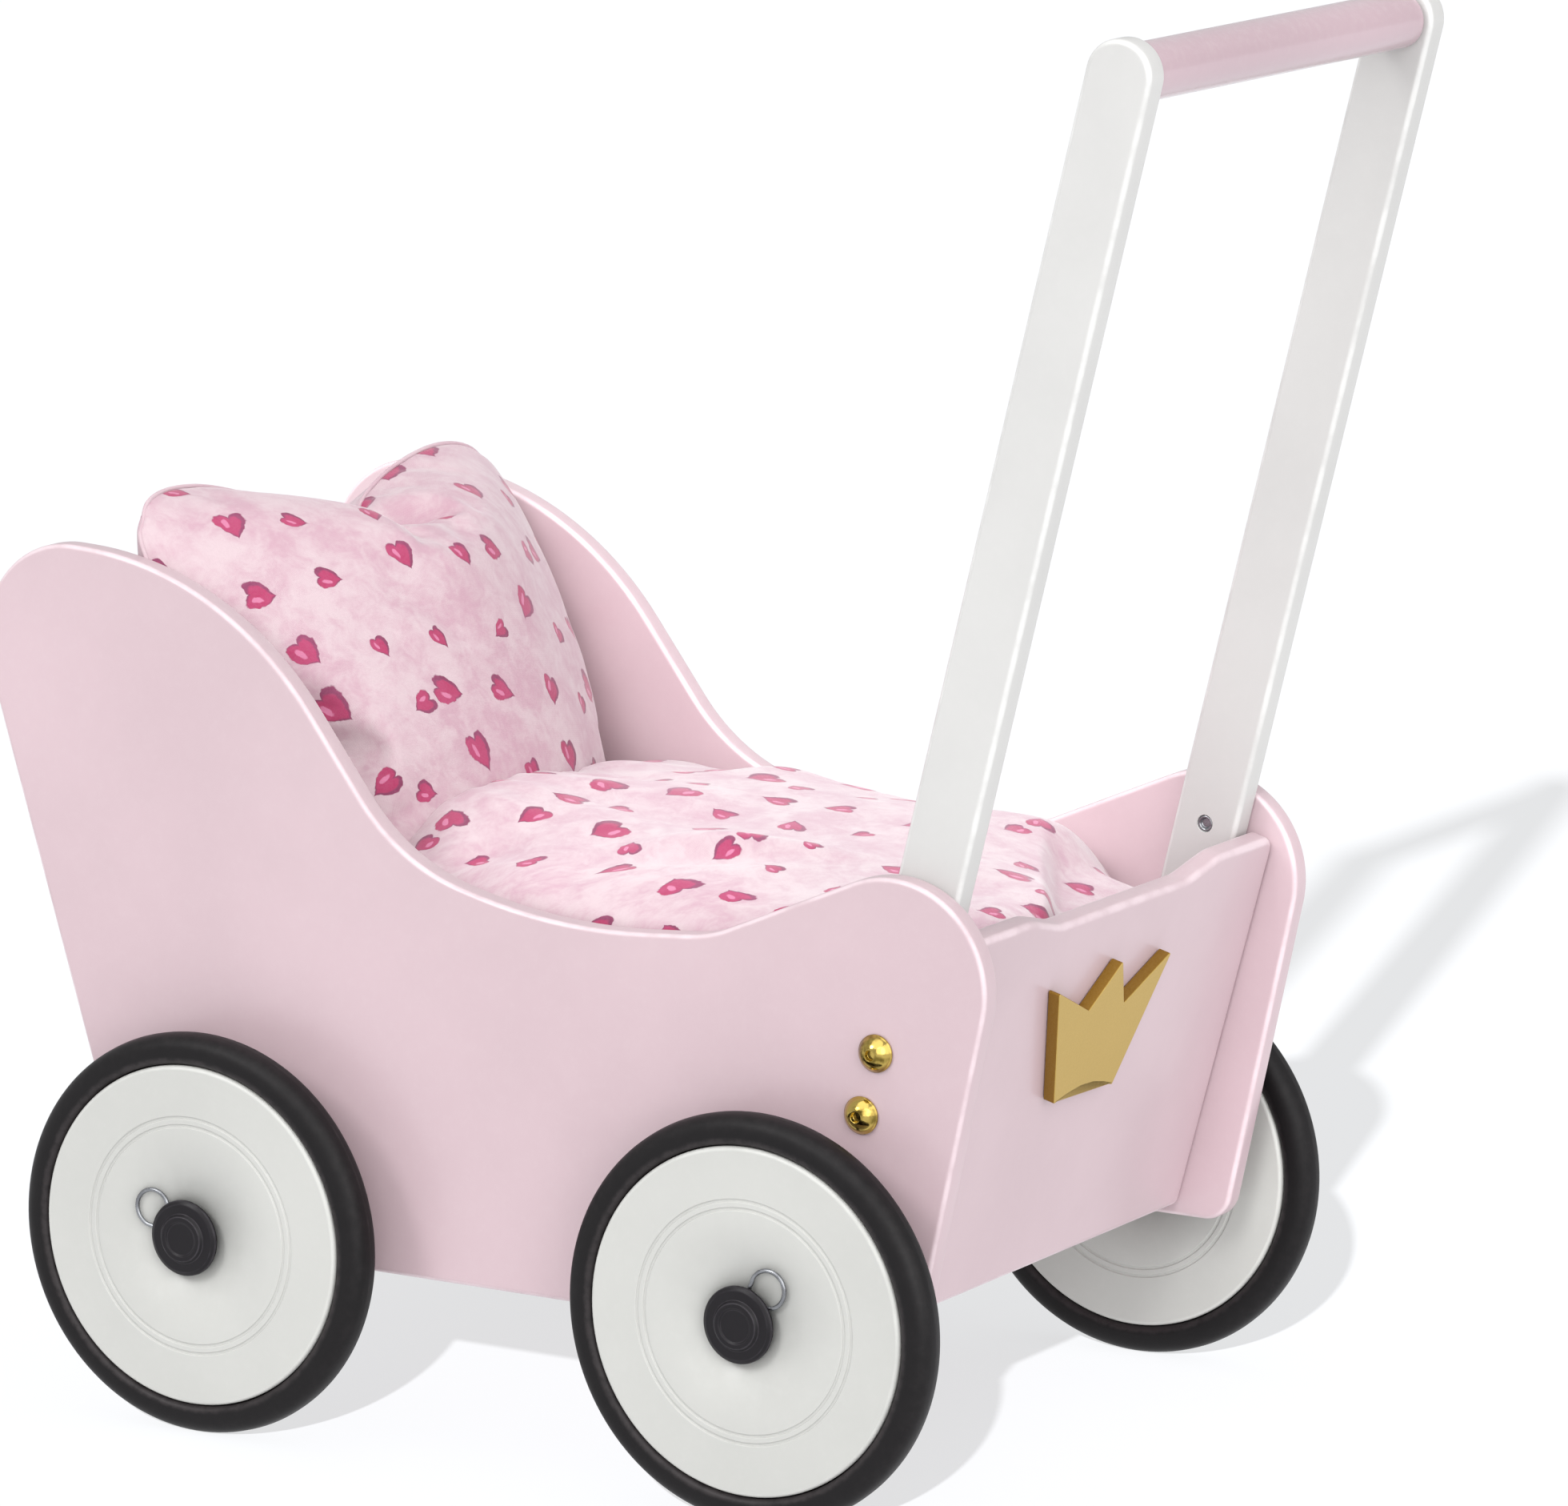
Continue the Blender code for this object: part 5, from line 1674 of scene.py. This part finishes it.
@dataclass
class Mattress:
    """A boxed foam mattress with a plain cover and piped edges."""

    crown: float = 1.5 * MM
    corner: float = 9 * MM
    soft: float = 6 * MM
    piping: float = 1.5 * MM
    fill: float = 0.95

    def make(self) -> None:
        """Build the pad as a rounded box with crowned faces, and its two pipings."""
        low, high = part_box("mattress")
        middle = np.array((low + high) / 2)
        half = np.array((high - low) / 2) - np.array([0.0, 0.0, self.crown])
        outline = rounded_outline([((x * half[0], y * half[1]), self.corner) for x, y in SQUARE], 0.15)
        angles = np.linspace(0, math.pi / 2, 7)
        inset = np.concatenate([[60 * MM, 30 * MM, 14 * MM], self.soft * (1 - np.sin(angles))])
        crowned = np.array([1.0, 0.8, 0.4]) * self.crown
        rise = np.concatenate([crowned, -self.soft * (1 - np.cos(angles))])
        inset = np.concatenate([inset, inset[::-1]])
        height = np.concatenate([half[2] + rise, -(half[2] + rise)[::-1]])
        furthest = self.corner - 0.1 * MM
        flat = outline.points[None] - outline.normals[None] * np.minimum(inset, furthest)[:, None, None]
        shrink = np.clip((inset - furthest) / half[1], 0, 1)[:, None, None]
        flat = flat * (1 - shrink)
        rings, around = flat.shape[:2]
        level = np.broadcast_to(height[:, None, None], (rings, around, 1))
        points = np.concatenate([flat, level], axis=-1).reshape(-1, 3) + middle
        caps = [list(range(around)), list(range(rings * around - 1, (rings - 1) * around - 1, -1))]
        pad = Surface(points, grid_faces(rings, around, wrap_columns=True), caps)
        everything = [list(face) for face in pad.quads] + caps
        loops = np.concatenate([np.array(face) for face in everything])
        pad.corner_uv = points[loops][:, :2] + points[loops][:, 2:] * 0.7
        mattress = add_piece("foam_mattress", pad, COVER_COTTON, "mattress", ["mattress"])
        for label, share in (("top", 1), ("bottom", -1)):
            level = np.full(around, share * (half[2] - 1.6 * MM))
            ring = np.column_stack([outline.inset(1.2 * MM), level]) + middle
            cord = cord_around(ring, self.piping)
            add_piece(f"mattress_piping_{label}", cord, COVER_COTTON, "mattress", [])


# ---------------------------------------------------------------- stage


@dataclass
class Studio:
    """The pale floor, the soft lights and the camera."""

    camera_place: tuple[float, float, float] = (-1.8205, 3.0207, 0.9410)
    camera_yaw: float = -1.0366
    camera_pitch: float = 0.1913
    camera_roll: float = 0.0079
    lens: float = 211.54
    floor_radius: float = 40.0
    shadow_way: tuple[float, float, float] = (0.909, -2.155, -1.0)
    shadow_strength: float = 11.5
    key_way: tuple[float, float, float] = (-0.45, -1.0, -0.75)
    key_strength: float = 0.8
    front_way: tuple[float, float, float] = (0.62, -0.75, -0.3)
    front_strength: float = 1.0
    fill_way: tuple[float, float, float] = (1.0, -0.25, -0.25)
    fill_strength: float = 1.5
    top_way: tuple[float, float, float] = (0.1, -0.6, -1.0)
    top_strength: float = 1.1
    inside_way: tuple[float, float, float] = (0.12, -0.8, -0.62)
    inside_strength: float = 1.9
    bed_way: tuple[float, float, float] = (-0.5, 0.55, -1.0)
    bed_strength: float = 2.1
    bed_tint: tuple[float, float, float] = (0.8, 1.0, 0.95)
    world_strength: float = 0.66
    floor_glow: float = 0.69

    def make(self) -> None:
        """Build the stage."""
        floor = self.make_floor()
        shadow = self.make_light("shadow_light", self.shadow_way, self.shadow_strength, math.radians(1.0))
        self.share_light(shadow, [floor], "INCLUDE")
        key = self.make_light("key_light", self.key_way, self.key_strength, math.radians(18))
        front = self.make_light("front_light", self.front_way, self.front_strength, math.radians(50))
        fill = self.make_light("fill_light", self.fill_way, self.fill_strength, math.radians(70))
        top = self.make_light("top_light", self.top_way, self.top_strength, math.radians(60))
        for lamp in (key, front, fill, top):
            self.share_light(lamp, [floor], "EXCLUDE")
        self.make_world()
        self.make_camera()

    def light_inside(self, walls: Sequence[str], bedding: Sequence[str]) -> None:
        """Lift the far side's inner faces and the bedding's top with a soft light that reaches only them."""
        inside = self.make_light("inside_light", self.inside_way, self.inside_strength, math.radians(25))
        self.share_light(inside, [bpy.data.objects[name] for name in walls], "INCLUDE")
        bed = self.make_light("bed_light", self.bed_way, self.bed_strength, math.radians(50))
        bed.data.color = self.bed_tint
        self.share_light(bed, [bpy.data.objects[name] for name in bedding], "INCLUDE")

    @staticmethod
    def share_light(lamp: bpy.types.Object, objects: Sequence[bpy.types.Object], state: str) -> None:
        """Light only the objects, with state INCLUDE, or everything else, with state EXCLUDE."""
        lit = bpy.data.collections.new(lamp.name + "_reach")
        for member in objects:
            lit.objects.link(member)
        for entry in lit.collection_objects:
            entry.light_linking.link_state = state
        lamp.light_linking.receiver_collection = lit

    def make_floor(self) -> bpy.types.Object:
        """A wide pale floor under the wheels. Its glow keeps the shade under the pram light."""
        reach = self.floor_radius
        points = np.array([(x * reach, y * reach, 0.0) for x, y in SQUARE])
        mesh = Surface(points, np.array([[0, 1, 2, 3]])).mesh("studio_floor")
        floor = bpy.data.objects.new("studio_floor", mesh)
        bpy.context.scene.collection.objects.link(floor)
        paint = bpy.data.materials.new("studio_floor")
        paint.use_nodes = True
        wiring = Wiring(paint.node_tree)
        shader = paint.node_tree.nodes["Principled BSDF"]
        place = wiring.add("TexCoord").outputs["Object"]
        tone = wiring.noise(place, 0.8, 2.0)
        colour = wiring.mix(tone, (0.155, 0.158, 0.165), (0.165, 0.168, 0.175))
        wiring.tree.links.new(colour, shader.inputs["Base Color"])
        shader.inputs["Emission Color"].default_value = (0.985, 0.992, 1.0, 1.0)
        shader.inputs["Emission Strength"].default_value = self.floor_glow
        shader.inputs["Roughness"].default_value = 0.9
        shader.inputs["Specular IOR Level"].default_value = 0.0
        mesh.materials.append(paint)
        return floor

    def make_light(
        self, name: str, way: tuple[float, float, float], strength: float, angle: float
    ) -> bpy.types.Object:
        """A sun that shines along `way`, softened over `angle`."""
        light = bpy.data.lights.new(name, "SUN")
        light.energy = strength
        light.angle = angle
        lamp = bpy.data.objects.new(name, light)
        lamp.rotation_mode = "QUATERNION"
        lamp.rotation_quaternion = Vector(way).to_track_quat("-Z", "Y")
        bpy.context.scene.collection.objects.link(lamp)
        return lamp

    def make_world(self) -> None:
        """Even white light from all round."""
        world = bpy.data.worlds.new("studio")
        world.use_nodes = True
        background = world.node_tree.nodes["Background"]
        background.inputs["Color"].default_value = (0.985, 0.99, 1.0, 1.0)
        background.inputs["Strength"].default_value = self.world_strength
        bpy.context.scene.world = world
        bpy.context.scene.view_settings.view_transform = "Standard"

    def make_camera(self) -> None:
        """The camera, from its yaw, pitch and roll."""
        yaw, pitch, roll = self.camera_yaw, self.camera_pitch, self.camera_roll
        look = Vector((math.cos(yaw) * math.cos(pitch), math.sin(yaw) * math.cos(pitch), -math.sin(pitch)))
        right = look.cross(Vector((0, 0, 1))).normalized()
        up = right.cross(look)
        turned_right = math.cos(roll) * right + math.sin(roll) * up
        turned_up = -math.sin(roll) * right + math.cos(roll) * up
        camera = bpy.data.objects.new("camera", bpy.data.cameras.new("camera"))
        camera.matrix_world = frame_of(turned_right, turned_up, self.camera_place)
        camera.data.lens = self.lens
        camera.data.sensor_width = 36.0
        camera.data.clip_end = 200.0
        bpy.context.scene.collection.objects.link(camera)
        bpy.context.scene.camera = camera


CLIP_LEAN = {("front", "left"): 59, ("rear", "left"): -38, ("front", "right"): -70, ("rear", "right"): 110}


def main() -> None:
    """Build the stage, the pram and its bedding."""
    logging.basicConfig(level=logging.INFO, format="%(name)s: %(message)s")
    studio = Studio()
    studio.make()
    Tub().make()
    Handle().make()
    for end in ENDS:
        Axle(end).make()
        for hand in SIDES:
            Wheel(end, hand, CLIP_LEAN[end, hand]).make()
    Mattress().make()
    Pillow().make()
    Duvet().make()
    studio.light_inside(("side_board_right", "disc_rear_right"), ("heart_duvet", "duvet_hem"))


if __name__ == "__main__":
    main()
